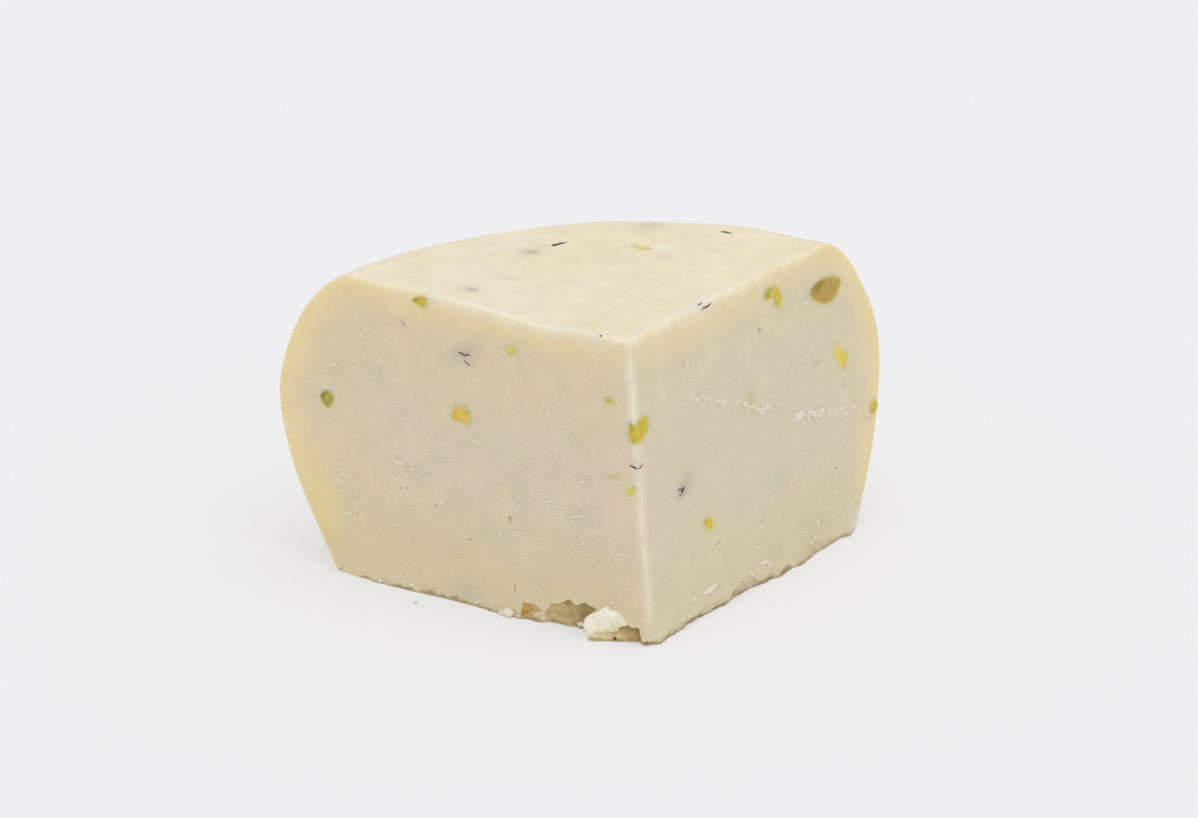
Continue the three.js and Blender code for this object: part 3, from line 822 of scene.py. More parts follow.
cheeseLook = {
    "topWarm": (0.86, 0.75, 0.53), "topPale": (0.88, 0.80, 0.61),
    "rindYellow": (0.91, 0.735, 0.345), "rindPale": (0.90, 0.76, 0.45),
    "pasteYellowAndGlow": (0.92, 0.745, 0.40), "paste": (0.80, 0.682, 0.468), "pasteGrey": (0.78, 0.666, 0.497),
    # The low paste is painted shade towards the foot of the cuts, and the foot brown also paints contact
    # shade at the floor.
    "pasteShadedLow": (0.765, 0.655, 0.43), "footShadeBrown": (0.31, 0.22, 0.085),
    "rightCutShade": (0.957, 0.975, 1.0),  # painted shade: multiplies the paste of the right cut, a little darker and cooler than the left
    # The worn colour pales the edges: partly wear, partly a painted highlight.
    "wornAndSheen": (0.86, 0.81, 0.67), "fleck": (1.0, 0.92, 0.74),
    "roughness": 0.42, "subsurface": 0.35,
    # how fine the noise of each pattern is, per metre
    "cloudScale": 26, "wobbleScale": 60, "footScale": 70, "mottleScale": 150, "raggedScale": 260,
    "grainScale": 1300, "clusterScale": 85, "speckScale": 520, "brokenScale": 620,
}
rightStart = 200  # places on the right cut start at this number, places on the left cut at 0


# Places on a cut are in millimetres, so scratches are noise that is squeezed across them.
def scratchNode(tree, place, longWay, shortWay, low, high):
    squeezed = addNode(tree, "ShaderNodeVectorMath", {0: place, 1: (1 / longWay, 1 / shortWay, 1)},
                       operation="MULTIPLY").outputs[0]
    return rangeNode(tree, noiseNode(tree, squeezed, 1.0, 2.5, 0.6, 0.4), low, high)


def cheeseMaterial():
    material, tree = newMaterial("cheese_paste_and_rind")
    coords = addNode(tree, "ShaderNodeTexCoord").outputs["Object"]
    clouds = rangeNode(tree, noiseNode(tree, coords, cheeseLook["cloudScale"], 2.5), 0.3, 0.7)
    mottle = noiseNode(tree, coords, cheeseLook["mottleScale"], 4, 0.6)
    grain = noiseNode(tree, coords, cheeseLook["grainScale"], 2, 0.5)
    look = {key: opaque(value) for key, value in cheeseLook.items() if isinstance(value, tuple)}
    cutShare = attributeNode(tree, "cutShare").outputs["Fac"]

    top = mixNode(tree, clouds, look["topWarm"], look["topPale"])
    side = mixNode(tree, clouds, look["rindYellow"], look["rindPale"])
    rind = mixNode(tree, attributeNode(tree, "topShare").outputs["Fac"], side, top)

    wobble = rangeNode(tree, noiseNode(tree, coords, cheeseLook["wobbleScale"], 3), 0.0, 1.0, -3.0, 3.0)
    depth = mathNode(tree, "ADD", attributeNode(tree, "rindDepth").outputs["Fac"], wobble)
    # Paste just under the rind and top is yellower: partly its own colour, partly a painted glow of light
    # through the edges.
    inner = mixNode(tree, rangeNode(tree, depth, 1.0, 9.0), look["pasteYellowAndGlow"], look["paste"])
    paste = mixNode(tree, rangeNode(tree, depth, 8.0, 30.0, 0.0, 0.8), inner, look["pasteGrey"])
    place = attributeNode(tree, "place").outputs["Vector"]
    parts = addNode(tree, "ShaderNodeSeparateXYZ", {0: place}).outputs
    height = parts["Y"]
    # Painted shade: the paste turns darker towards the foot of each cut, as if lit from above.
    low = rangeNode(tree, mathNode(tree, "ADD", height, wobble), 26.0, 8.0)
    paste = mixNode(tree, low, paste, look["pasteShadedLow"])
    uneven = rangeNode(tree, noiseNode(tree, coords, cheeseLook["raggedScale"], 3), 0.3, 0.7, -0.7, 0.7)
    ragged = mathNode(tree, "ADD", height, uneven)
    # A ragged brown band darkens the foot of each cut, more on the right cut.
    footShare = rangeNode(tree, noiseNode(tree, coords, cheeseLook["footScale"], 2), 0.35, 0.6, 0.6, 1.0)
    footShare = mathNode(tree, "MULTIPLY", rangeNode(tree, ragged, 1.3, 0.45), footShare)
    onRight = rangeNode(tree, parts["X"], rightStart - 50, rightStart - 49)
    footShare = mathNode(tree, "MULTIPLY", footShare, rangeNode(tree, onRight, 0.0, 1.0, 0.35, 1.0))
    # the foot line is paler along the far end of the right cut
    footFade = rangeNode(tree, parts["X"], rightStart + 52, rightStart + 68, 1.0, 0.45)
    footShare = mathNode(tree, "MULTIPLY", footShare, footFade)
    paste = mixNode(tree, footShare, paste, look["footShadeBrown"])
    # Painted shade: the right cut's paste is toned a little darker and cooler than the left's.
    paste = mixNode(tree, onRight, paste, look["rightCutShade"], "MULTIPLY")
    base = mixNode(tree, cutShare, rind, paste)

    # Paler edges: partly wear, partly a painted highlight where light catches the rounded edges.
    wornAndSheen = rangeNode(tree, attributeNode(tree, "edgeWearAndSheen").outputs["Fac"], 0.0, 1.0)
    wornAndSheen = mathNode(tree, "MULTIPLY", wornAndSheen, rangeNode(tree, mottle, 0.3, 0.65, 0.55, 0.98))
    base = mixNode(tree, wornAndSheen, base, look["wornAndSheen"])
    # Stains, with patches of painted shade on the lower right cut and in tiny pits.
    stainAndShade = attributeNode(tree, "stainAndShade")
    base = mixNode(tree, stainAndShade.outputs["Alpha"], base, stainAndShade.outputs["Color"])
    base = toned(tree, base, rangeNode(tree, mottle, 0.3, 0.7, 0.965, 1.03))

    clusters = rangeNode(tree, noiseNode(tree, coords, cheeseLook["clusterScale"], 2, 0.5), 0.46, 0.6)
    scratches = mathNode(tree, "MAXIMUM", scratchNode(tree, place, 2.2, 0.32, 0.58, 0.68),
                         scratchNode(tree, place, 0.9, 0.4, 0.61, 0.70))
    scratches = mathNode(tree, "MULTIPLY", mathNode(tree, "MULTIPLY", scratches, clusters), cutShare)
    scratches = mathNode(tree, "MULTIPLY", scratches, rangeNode(tree, onRight, 0.0, 1.0, 1.0, 0.35))
    base = mixNode(tree, mathNode(tree, "MULTIPLY", scratches, 0.9), base, look["fleck"])
    speck = rangeNode(tree, noiseNode(tree, coords, cheeseLook["speckScale"], 2, 0.5), 0.71, 0.77, 0.0, 0.4)
    base = mixNode(tree, speck, base, look["fleck"])

    # Broken faces take their own tints, which in the overhung hollows are painted shade.
    broken = attributeNode(tree, "breakTintAndShade")
    crumbling = noiseNode(tree, coords, cheeseLook["brokenScale"], 4, 0.65)
    brokenTone = rangeNode(tree, crumbling, 0.3, 0.7, 0.87, 1.11)
    brokenColour = toned(tree, broken.outputs["Color"], brokenTone)
    base = mixNode(tree, broken.outputs["Alpha"], base, brokenColour)
    # Painted contact shade: a dark brown line along the very foot, where the cheese meets the floor.
    contactShade = mathNode(tree, "MULTIPLY", rangeNode(tree, ragged, 0.75, 0.3, 0.0, 0.7), footFade)
    base = mixNode(tree, contactShade, base, look["footShadeBrown"])

    rough = cheeseLook["roughness"]
    shader = addNode(tree, "ShaderNodeBsdfPrincipled", {
        "Base Color": base, "Subsurface Weight": cheeseLook["subsurface"], "Subsurface Scale": 0.004,
        "Subsurface Radius": (1.0, 0.75, 0.45), "IOR": 1.45,
        "Roughness": rangeNode(tree, mottle, 0.2, 0.8, rough - 0.06, rough + 0.1),
    })
    fine = bumpNode(tree, grain, 0.25, 0.00025)
    raised = bumpNode(tree, scratches, 0.5, 0.0002, fine)
    normal = bumpNode(tree, mottle, 0.3, 0.0008, raised)
    tree.links.new(normal, shader.inputs["Normal"])
    finishMaterial(tree, shader)
    return material


# Thin skins of the nuts and small crumbs take their colours from an attribute, mottled by noise; some pale
# skin strips and one pale fleck are painted glints.
def tintedMaterial(name, attribute, patchScale, tones, roughness, subsurface, bump):
    material, tree = newMaterial(name)
    coords = addNode(tree, "ShaderNodeTexCoord").outputs["Object"]
    patches = noiseNode(tree, coords, patchScale, 3, 0.6)
    tint = attributeNode(tree, attribute).outputs["Color"]
    base = toned(tree, tint, rangeNode(tree, patches, 0.25, 0.75, *tones))
    shader = addNode(tree, "ShaderNodeBsdfPrincipled", {
        "Base Color": base, "Subsurface Weight": subsurface, "Subsurface Scale": 0.001,
        "Subsurface Radius": (1.0, 0.9, 0.4), "IOR": 1.46, "Specular IOR Level": 0.3,
        "Roughness": rangeNode(tree, patches, 0.2, 0.8, roughness - 0.08, roughness + 0.09),
        "Normal": bumpNode(tree, patches, bump, 0.0003),
    })
    finishMaterial(tree, shader)
    return material


cheese = cheeseMaterial()
pistachio = tintedMaterial("pistachio_kernel", "kernelTint", 900, (0.84, 1.12), 0.36, 0.2, 0.35)
skinAndGlint = tintedMaterial("pistachio_skin_and_glint", "skinAndGlintTint", 1500, (0.6, 1.35), 0.4, 0.0, 0.5)
crumbAndGlint = tintedMaterial("pale_crumb_and_glint", "crumbAndGlintTint", 1100, (0.86, 1.08), 0.45, 0.3, 0.4)
print("materials made")


quarter = {
    "flankRows": 80, "shoulderRows": 42, "cutColumns": 176, "rimColumns": 130, "topRings": 30, "baseRings": 4,
    "centre": (0.0, 46.0), "crowding": 0.5,  # of the columns near both ends of a cut
    "topCrowding": 1.35,  # power that crowds the rings of the top towards its rim
    "cutBlend": 0.8,  # width of the change from the cut's colours to the rind's
    "sheenWearWidth": 1.45, "topSheenWearWidth": 2.7,
    "sheenWearFoot": (4.6, 1.8), "topSheenWearFoot": (55, 10),  # where the paler edges of wear and painted sheen start, and over what height they grow
    "topTurn": (0.35, 0.5),  # how far upwards the rind has turned where it takes the top's colour
    # how much the top's edges are paled by wear and painted sheen, at distances along each cut
    "leftTopWear": [(0, 0.8), (22, 0.95), (48, 0.9), (62, 0.45), (72, 0.15), (90, 0.05)],
    "rightTopWear": [(0, 0.8), (20, 1.0), (38, 0.75), (60, 0.5), (75, 0.2), (90, 0.05)],
    "sharpAngle": 50,  # degrees, past which two faces meet in a crisp edge
}


# The outside as rings of points. Along a cut the rows spread evenly up to the dished top, and each row
# ends on the wheel's profile. Caps are the first and last outlines drawn in to a middle.
def quarterRings():
    climb = np.concatenate([np.linspace(0, 1, quarter["flankRows"], endpoint=False),
                            np.linspace(1, 2, quarter["shoulderRows"] + 1)])
    radius, height = rindProfile(climb)
    even = np.linspace(0, 1, quarter["cutColumns"])
    share = even - quarter["crowding"] * np.sin(2 * math.pi * even) / (2 * math.pi)
    faces, rims = {}, {}
    for name, cut in cuts.items():
        rim = rimAlong(cut, height, radius)
        topAlong = share * rim[-1]
        top = cutPoint(cut, topAlong, np.full_like(topAlong, wheel["shoulderTop"]))
        scale = topHeight(np.hypot(top[:, 0], top[:, 1])) / wheel["shoulderTop"]
        scale[-1] = 1
        rows = height[:, None] * scale
        start = cornerAlong(cut, rows)
        faces[name] = cutPoint(cut, start + share * (rim[:, None] - start), rows)
        rims[name] = np.arctan2(faces[name][:, -1, 1], faces[name][:, -1, 0])
    turn = np.linspace(0, 1, quarter["rimColumns"])[1:-1]
    angle = rims["right"][:, None] + (rims["left"] - rims["right"])[:, None] * turn
    arc = np.stack([radius[:, None] * np.cos(angle), radius[:, None] * np.sin(angle),
                    np.repeat(height[:, None], len(turn), 1)], -1)
    side = np.concatenate([faces["right"], arc, faces["left"][:, :0:-1]], axis=1)
    centre = np.array(quarter["centre"])
    inward = 1 - np.linspace(0, 1, quarter["topRings"] + 1)[1:-1] ** quarter["topCrowding"]
    flat = centre + (side[-1, :, :2] - centre) * inward[:, None, None]
    cap = np.concatenate([flat, topHeight(np.hypot(flat[..., 0], flat[..., 1]))[..., None]], -1)
    outside = settle(np.concatenate([side, cap]))
    foot = outside[0]
    foot[:, 2] = 0
    inward = np.linspace(0, 1, quarter["baseRings"] + 1)[1:]
    base = np.concatenate([centre + (foot[:, :2] - centre) * inward[:-1, None, None],
                           np.zeros((len(inward) - 1, foot.shape[0], 1))], -1)
    pole = settle(np.array([[*centre, topHeight(np.hypot(*centre))]]))[0]
    return np.concatenate([base, outside]), np.array([*centre, 0.0]), pole


# The booleans wait on the piece, and are all worked out at once.
def booleanWith(piece, cutter, operation):
    modifier = piece.modifiers.new(operation.lower(), "BOOLEAN")
    modifier.operation = operation
    modifier.solver = "MANIFOLD"
    modifier.object = cutter


# The colour of faces that a cut or a lump brings in, with painted shade in the overhung hollows. The boolean
# carries it over to the cheese.
def setBreakTintAndShade(piece, tints, cover):
    attribute = piece.data.attributes.new("breakTintAndShade", "FLOAT_COLOR", "FACE")
    colours = np.ones((len(piece.data.polygons), 4), np.float32)
    colours[:, :3], colours[:, 3] = tints, cover
    attribute.data.foreach_set("color", colours.ravel())


# Colours of a torn body's faces: from the first tint to the second between two places on the cut, with
# patches lighter and darker by noise. Under overhangs the darker tint is painted shade.
def tornTintsAndShade(tool, torn):
    centres = wheelPlaces(tool.data.polygons, "center")
    spots = np.stack([fromEdge(centres) @ cuts[torn["side"]]["along"], centres[:, 2]], -1)
    start, way = np.array(torn["from"], float), np.array(torn["to"], float) - np.array(torn["from"], float)
    share = smooth((spots - start) @ way / (way @ way) + 0.3 * cloud(centres, 1.4, torn["seed"] + 2))[:, None]
    first, second = (np.array(tint) for tint in torn["tints"])
    patches = torn.get("patches", 0.12) * cloud(centres, 1.0, torn["seed"] + 4)
    return (first * (1 - share) + second * share) * (1 + patches)[:, None]


# Puts what the modifiers make in place of the piece's own mesh.
def applyModifiers(piece):
    evaluated = piece.evaluated_get(bpy.context.evaluated_depsgraph_get())
    mesh = bpy.data.meshes.new_from_object(evaluated)
    old = piece.data
    piece.modifiers.clear()
    piece.data = mesh
    bpy.data.meshes.remove(old)


rings, basePole, topPole = quarterRings()
cheeseQuarter = addMesh("pecorino_quarter", closedBody(rings, basePole, topPole))
print("quarter laid out,", len(cheeseQuarter.data.polygons), "faces")

pockets = []
for name, kernel in kernelPieces.items():
    body, ringScale, depth = kernelBody(kernel)
    piece = addMesh(name.replace("kernel", "pistachio"), body)
    piece.data.set_sharp_from_angle(angle=math.radians(kernelShape["sharpAngle"]))
    setAttribute(piece.data, "kernelTint", kernelColours(kernel, piece, ringScale, depth), "FLOAT_COLOR")
    finishPiece(piece, pistachio, [name])
    pockets.append(kernelBody(kernel, kernelShape["gap"])[0])
print("kernels made,", len(pockets))

# The torn feet of the cuts: outlines along and up, and how deep a hollow goes or the plane that a slab's
# face lies in (start, slopes along and up, the place they start from, how far behind) and its drop.
# The tints go from the first at one place to the second at another, with patches lighter and darker; in the
# notch, the cavity, the flap and its foot the change is painted light and shade.
tornFeet = {
    # painted shade: the notch darkens from its lit lower part to its overhung top
    "notch": {
        "side": "left", "deep": 3.3, "seed": 61,
        "outline": [(28.2, -7), (27.9, 0.6), (27.2, 2.6), (26.6, 3.9), (25.9, 4.7), (24.6, 5), (23.2, 5.7),
            (21.8, 6.5), (20.7, 7), (19.6, 6.2), (18.4, 6.1), (17.6, 6.8), (16.7, 7.1), (15.8, 6.5),
            (15.2, 6.3), (14.3, 6.3), (13.7, 5.6), (12, 4.6), (11, 3.6), (11, -7)],
        "tints": ((0.75, 0.6, 0.32), (0.49, 0.36, 0.13)), "from": (26.4, 1.8), "to": (18.8, 5)},
    "pocket": {
        "side": "left", "deep": 1.5, "seed": 69,
        "outline": [(33.1, 3.9), (31.9, 3.7), (30.4, 3.7), (29, 3.4), (28.1, 2.7), (29.9, 1.9), (31.3, 1),
            (33.5, 0.5), (33.6, 1.9)],
        "tints": ((0.72, 0.51, 0.17), (0.84, 0.7, 0.41)), "from": (33, 3), "to": (29.8, 2)},
    # painted shade: the cavity's brown darkens towards the apex, under the flap
    "cavity": {
        "side": "left", "deep": 2.7, "seed": 77,
        "outline": [(12, -7), (12, 2.2), (10.2, 3), (8.4, 3.7), (6.9, 4), (5.5, 4.3), (4.3, 4), (3.4, 4.3),
            (2.8, 4), (2.9, 2.6), (2.7, 1.2), (2.9, -7)],
        "tints": ((0.68, 0.51, 0.22), (0.56, 0.41, 0.16)), "from": (9, 3), "to": (3.5, 2)},
    "wedge": {
        "side": "right", "deep": 0.45, "seed": 93,
        "outline": [(31.4, -5), (31.6, 1.4), (32.1, 2.3), (34.8, 2.8), (38, 3.7), (39.9, 3.7), (41.2, 2.6),
            (41.9, 1.9), (42, -5)],
        "tints": ((0.68, 0.55, 0.35), (0.56, 0.42, 0.22)), "from": (38, 3.4), "to": (34, 0.8)},
    "ledge": {
        "side": "left", "plane": (-1.9, 0.02, -1.15, 22, 0, 6), "drop": 0.25, "seed": 29,
        "outline": [(28.8, -0.5), (28.4, 1.5), (26.6, 2.6), (24.5, 2.4), (22, 1.5), (20, 1.6), (18.2, 2.2),
            (16.3, 1.6), (15.5, -0.5)],
        "tints": ((0.7, 0.58, 0.37), (0.64, 0.49, 0.34)), "from": (25, 1), "to": (18, 1)},
    # painted shade: the flap's foot darkens towards the hollow under the flap
    "flapFoot": {
        "side": "left", "plane": (0.7, 0.56, 0.05, 9.5, 0, 4.6), "drop": 0.4, "seed": 33, "rough": 0.12,
        "patches": 0.08,
        "outline": [(13.9, -0.5), (14.5, 0.9), (13.4, 2.3), (10.7, 2.7), (8.2, 3), (6.4, 3.6), (4.6, 3.2),
            (3.2, 2.8), (2.9, 1.2), (3, -0.5)],
        "tints": ((0.83, 0.71, 0.44), (0.54, 0.39, 0.15)), "from": (12.6, 2), "to": (5.4, 1.4)},
    # painted light and shade: the flap is lighter at its top and darker and yellower below
    "flap": {
        "side": "left", "plane": (1.7, 0.33, -0.1, 10, 4, 3), "drop": 0.7, "seed": 39, "rough": 0.07,
        "patches": 0.04,
        "outline": [(15.2, 4.7), (14.6, 5.1), (13.7, 5.7), (12.8, 6.2), (12, 6.8), (11.2, 7.6), (10.5, 7.5),
            (10, 7), (8.3, 6.8), (6.6, 6.5), (6.1, 5.4), (5.6, 4.4), (6.4, 3.9), (7.8, 3.5), (8.1, 2.7),
            (10.7, 2.2), (12.9, 1.6), (14.4, 0.4), (15.2, 1.6), (15.6, 3)],
        "tints": ((0.87, 0.79, 0.54), (0.96, 0.92, 0.77)), "from": (9.5, 2.2), "to": (11.2, 4.9)},
}

# Lumps at the left foot: along, up, how far out, half sizes, tilt and seed, and tint.
lumps = [
    ((36.3, 1.1, 0.9, (1.35, 1.0, 1.0), 0, 51), (0.93, 0.86, 0.73)),
    ((38.2, 0.6, 0.7, (0.8, 0.5, 0.7), 0, 57), (0.84, 0.75, 0.57)),
    ((34.2, 0.4, 0.4, (0.7, 0.45, 0.6), 0, 59), (0.82, 0.66, 0.46)),
    ((32.9, 0.3, 0.3, (0.5, 0.4, 0.5), 0, 63), (0.84, 0.68, 0.54)),
    ((19.4, 0.9, -2.0, (1.0, 0.6, 0.7), 0, 67), (0.90, 0.82, 0.68)),
    ((16.9, 0.6, -1.2, (1.2, 0.7, 1.0), 0, 71), (0.76, 0.58, 0.44)),
]
fineness = {"rows": 16, "columns": 24, "rough": 0.25, "grain": 0.7}

# Small pits in the cuts: side, place, half sizes along and across, depth and tilt.
pits = [
    ("left", 64.2, 23.8, 0.4, 0.22, 0.25, 10), ("left", 62.5, 24.2, 0.3, 0.2, 0.2, 0),
    ("left", 37.1, 27.6, 0.35, 0.25, 0.2, 0), ("left", 35.3, 22.6, 0.42, 0.62, 0.35, 0),
    ("left", 46.4, 15.5, 0.5, 0.2, 0.2, -35), ("left", 12.6, 17.4, 0.35, 0.25, 0.2, 0),
    ("left", 55.2, 21.5, 0.3, 0.2, 0.2, 0), ("left", 77.2, 14.9, 0.3, 0.25, 0.3, 0),
    ("left", 35.3, 6.4, 0.22, 1.1, 0.2, -4), ("right", 76.6, 17.6, 0.55, 0.35, 0.35, 0),
    ("right", 71.8, 16.2, 0.35, 0.3, 0.25, 0), ("right", 58.0, 16.0, 0.5, 0.22, 0.25, 20),
    ("right", 46.4, 15.3, 0.35, 0.22, 0.2, 0), ("right", 28.1, 15.2, 1.3, 0.22, 0.25, 17),
]
pitTint, pocketTint = (0.66, 0.54, 0.34), (0.82, 0.70, 0.36)


# Makes a body that cuts the quarter or is added to it, with the colour that its faces bring.
def work(name, body, operation, tints, cover):
    tool = addMesh(name, body, operation == "UNION")
    setBreakTintAndShade(tool, tornTintsAndShade(tool, tints) if isinstance(tints, dict) else tints, cover)
    booleanWith(cheeseQuarter, tool, operation)
    return tool


setBreakTintAndShade(cheeseQuarter, (1, 1, 1), 0)
tools = []
for name, torn in tornFeet.items():
    if "deep" in torn:
        body = hollow(torn["side"], torn["outline"], torn["deep"], torn["seed"])
        tools.append(work("torn_" + name, body, "DIFFERENCE", torn, 1))
    else:
        body = slab(torn["side"], torn["outline"], torn["plane"], torn["drop"], torn["seed"],
                    rough=torn.get("rough", 0.2))
        tools.append(work("broken_" + name, body, "UNION", torn, 1))
for k, ((along, up, out, halves, tilt, seed), tint) in enumerate(lumps):
    body = pebbleOn("left", along, up, out, halves, tilt, seed, **fineness)
    tools.append(work("lump_" + str(k), body, "UNION", tint, 1))
pitShape = {"rows": 9, "columns": 13, "rough": 0.3, "grain": 0.6}
holes = [pebbleOn(side, a, b, 0.0, (long, short, deep), tilt, 7 * k + 3, **pitShape)
         for k, (side, a, b, long, short, deep, tilt) in enumerate(pits)]
tools.append(work("pit_cutter", joined(holes), "DIFFERENCE", pitTint, 0.7))
tools.append(work("pocket_cutter", joined(pockets), "DIFFERENCE", pocketTint, 0.9))
applyModifiers(cheeseQuarter)
for tool in tools:
    bpy.data.objects.remove(tool)
print("notch, flap, pits and pockets made,", len(cheeseQuarter.data.polygons), "faces")


# Stains of the surface, and a few patches of painted shade: side, place, long and short reach, tilt in
# degrees, colour and strength.
stainsAndShade = [
    ("left", (43.7, 59.4), (4.2, 1.7), -20, (0.50, 0.42, 0.40), 0.55),
    ("left", (42.2, 57.2), (1.6, 0.9), 0, (0.62, 0.45, 0.38), 0.5),
    ("left", (59.5, 63.3), (1.5, 0.6), 45, (0.72, 0.48, 0.36), 0.4),
    ("left", (86.2, 9.6), (2.6, 1.7), 40, (0.84, 0.60, 0.22), 0.5),
    ("left", (86, 17), (4.5, 9.5), 0, (0.90, 0.74, 0.32), 0.6),
    ("left", (48.2, 2.9), (4.2, 2.8), 20, (0.55, 0.52, 0.42), 0.4),
    ("left", (41.9, 17.9), (2.6, 2.2), 0, (0.62, 0.60, 0.46), 0.25),
    ("left", (70.7, 55.9), (2.0, 0.7), 35, (0.78, 0.66, 0.33), 0.5),
    ("left", (6.3, 38.5), (1.5, 0.7), 0, (0.66, 0.57, 0.23), 0.9),
    ("left", (82.3, 44.6), (1.8, 0.5), 10, (0.88, 0.85, 0.76), 0.7),
    ("left", (35.3, 22.6), (0.7, 1.0), 0, (0.55, 0.48, 0.24), 0.5),
    ("right", (17.3, 33.2), (3.4, 2.4), 50, (0.50, 0.44, 0.40), 0.5),
    ("right", (15.9, 31.4), (1.5, 1.2), 20, (0.36, 0.30, 0.27), 0.6),
    ("right", (53.5, 22.5), (4.8, 3.6), -30, (0.56, 0.58, 0.44), 0.42),
    ("right", (44.9, 43.9), (1.7, 2.1), 0, (0.63, 0.60, 0.25), 0.8),
    # painted shade: darkens the lower part of the right cut
    ("right", (62, 8.5), (24, 6.5), 6, (0.70, 0.61, 0.42), 0.4),
    ("edge", (0.6, 2.2), (3.0, 2.4), 0, (0.80, 0.70, 0.53), 0.8),
    ("right", (88, 12), (3.5, 8.0), 0, (0.90, 0.76, 0.38), 0.45),
    ("edge", (0.9, 59.2), (1.0, 1.9), 0, (0.89, 0.82, 0.70), 0.9),
    ("edge", (-0.4, 53.8), (0.7, 1.5), 0, (0.89, 0.83, 0.74), 0.7),
    ("right", (24.2, 18.0), (1.6, 1.0), 0, (0.68, 0.64, 0.34), 0.5),
    # painted shade: this dark spot and the next three stand for the shade inside tiny pits
    ("right", (50.3, 58.6), (1.0, 0.7), 0, (0.40, 0.34, 0.30), 0.5),
    ("right", (19.9, 59.8), (0.9, 0.6), 0, (0.50, 0.42, 0.36), 0.45),
    ("right", (71.9, 44.2), (1.2, 0.6), 0, (0.50, 0.46, 0.38), 0.45),
    ("right", (81.8, 35.7), (1.0, 0.6), 0, (0.50, 0.46, 0.38), 0.4),
    ("right", (29.0, 70.6), (4.2, 1.3), 8, (0.80, 0.74, 0.72), 0.55),
    ("right", (65.5, 3.2), (5.0, 1.5), 12, (0.70, 0.52, 0.28), 0.5),
    ("right", (82.4, 2.6), (2.6, 3.2), 0, (0.74, 0.72, 0.64), 0.55),
    ("right", (91.5, 25.2), (1.6, 1.0), -20, (0.66, 0.52, 0.26), 0.5),
    # the next four darken the foot of the right cut in brown patches
    ("right", (36.5, 2.2), (5.0, 1.5), 10, (0.50, 0.40, 0.26), 0.4),
    ("right", (9.8, 0.6), (4.6, 1.1), 0, (0.54, 0.40, 0.20), 0.65),
    ("right", (47.8, 0.8), (4.4, 1.5), 0, (0.62, 0.50, 0.28), 0.5),
    ("right", (63.5, 1.6), (5.6, 1.5), 0, (0.52, 0.42, 0.27), 0.4),
    ("top", (-14.6, 66.2), (2.6, 2.4), 30, (0.50, 0.46, 0.36), 0.55),
    ("top", (-14.2, 65.5), (0.9, 1.2), 0, (0.34, 0.30, 0.24), 0.5),
    ("top", (-18.0, 71.6), (7.5, 3.4), 20, (0.88, 0.78, 0.70), 0.45),
    ("top", (-32.2, 44.5), (2.6, 1.9), -40, (0.48, 0.41, 0.36), 0.5),
    ("top", (-31.6, 44.1), (1.2, 0.8), -40, (0.36, 0.30, 0.27), 0.5),
    ("top", (-22.0, 49.7), (3.2, 1.2), -15, (0.62, 0.53, 0.46), 0.3),
    ("top", (14.6, 63.8), (3.8, 1.6), 0, (0.90, 0.84, 0.72), 0.6),
    ("top", (14.7, 57.6), (1.4, 1.0), -30, (0.50, 0.42, 0.34), 0.5),
    ("top", (14.8, 77.0), (3.6, 3.0), 0, (0.56, 0.45, 0.34), 0.4),
    ("top", (15.9, 80.6), (0.9, 0.9), 0, (0.35, 0.25, 0.18), 0.5),
    ("top", (-9.2, 20.2), (2.6, 0.8), -60, (0.80, 0.68, 0.30), 0.4),
    ("rind", (70, 47), (5.0, 3.4), 20, (0.55, 0.50, 0.38), 0.35),
    ("rind", (101, 28), (4.2, 2.6), -30, (0.72, 0.48, 0.26), 0.4),
    ("rind", (124, 40), (4.6, 3.0), 40, (0.55, 0.52, 0.38), 0.35),
    ("rind", (92, 58), (3.8, 2.2), 0, (0.50, 0.42, 0.38), 0.35),
]


# Oil has stained the paste round each kernel.
haloTint, haloShare, haloReach = (0.82, 0.72, 0.36), 0.5, 0.75
for kernel in kernelPieces.values():
    reaches = np.abs(np.array(kernel["outline"])).max(0) + haloReach
    stainsAndShade.append((kernel["side"], kernel["at"], tuple(reaches), 0, haloTint, haloShare))


# Where points lie from a mark's place, in the surface's own two directions, and how deep under it.
def fromMark(side, place, clean, depths):
    if side == "top":
        return clean[:, 0] - place[0], clean[:, 1] - place[1], depths["wheel"]
    up = clean[:, 2] - place[1]
    if side == "rind":
        bearing = np.degrees(np.arctan2(clean[:, 1], clean[:, 0]))
        return np.radians(bearing - place[0]) * rindRadius(np.array(float(place[1]))), up, depths["wheel"]
    line = fromEdge(clean)
    if side == "edge":
        onLeft = depths["left"] < depths["right"]
        across = np.where(onLeft, -line @ cuts["left"]["along"], line @ cuts["right"]["along"])
        return across - place[0], up, np.minimum(depths["left"], depths["right"])
    return line @ cuts[side]["along"] - place[0], up, depths[side]


markDepth, footMarkDepth = 1.2, 6  # a mark near a cut's foot also colours what has broken back
footMarkHeight = 6
markRoughness = 0.45


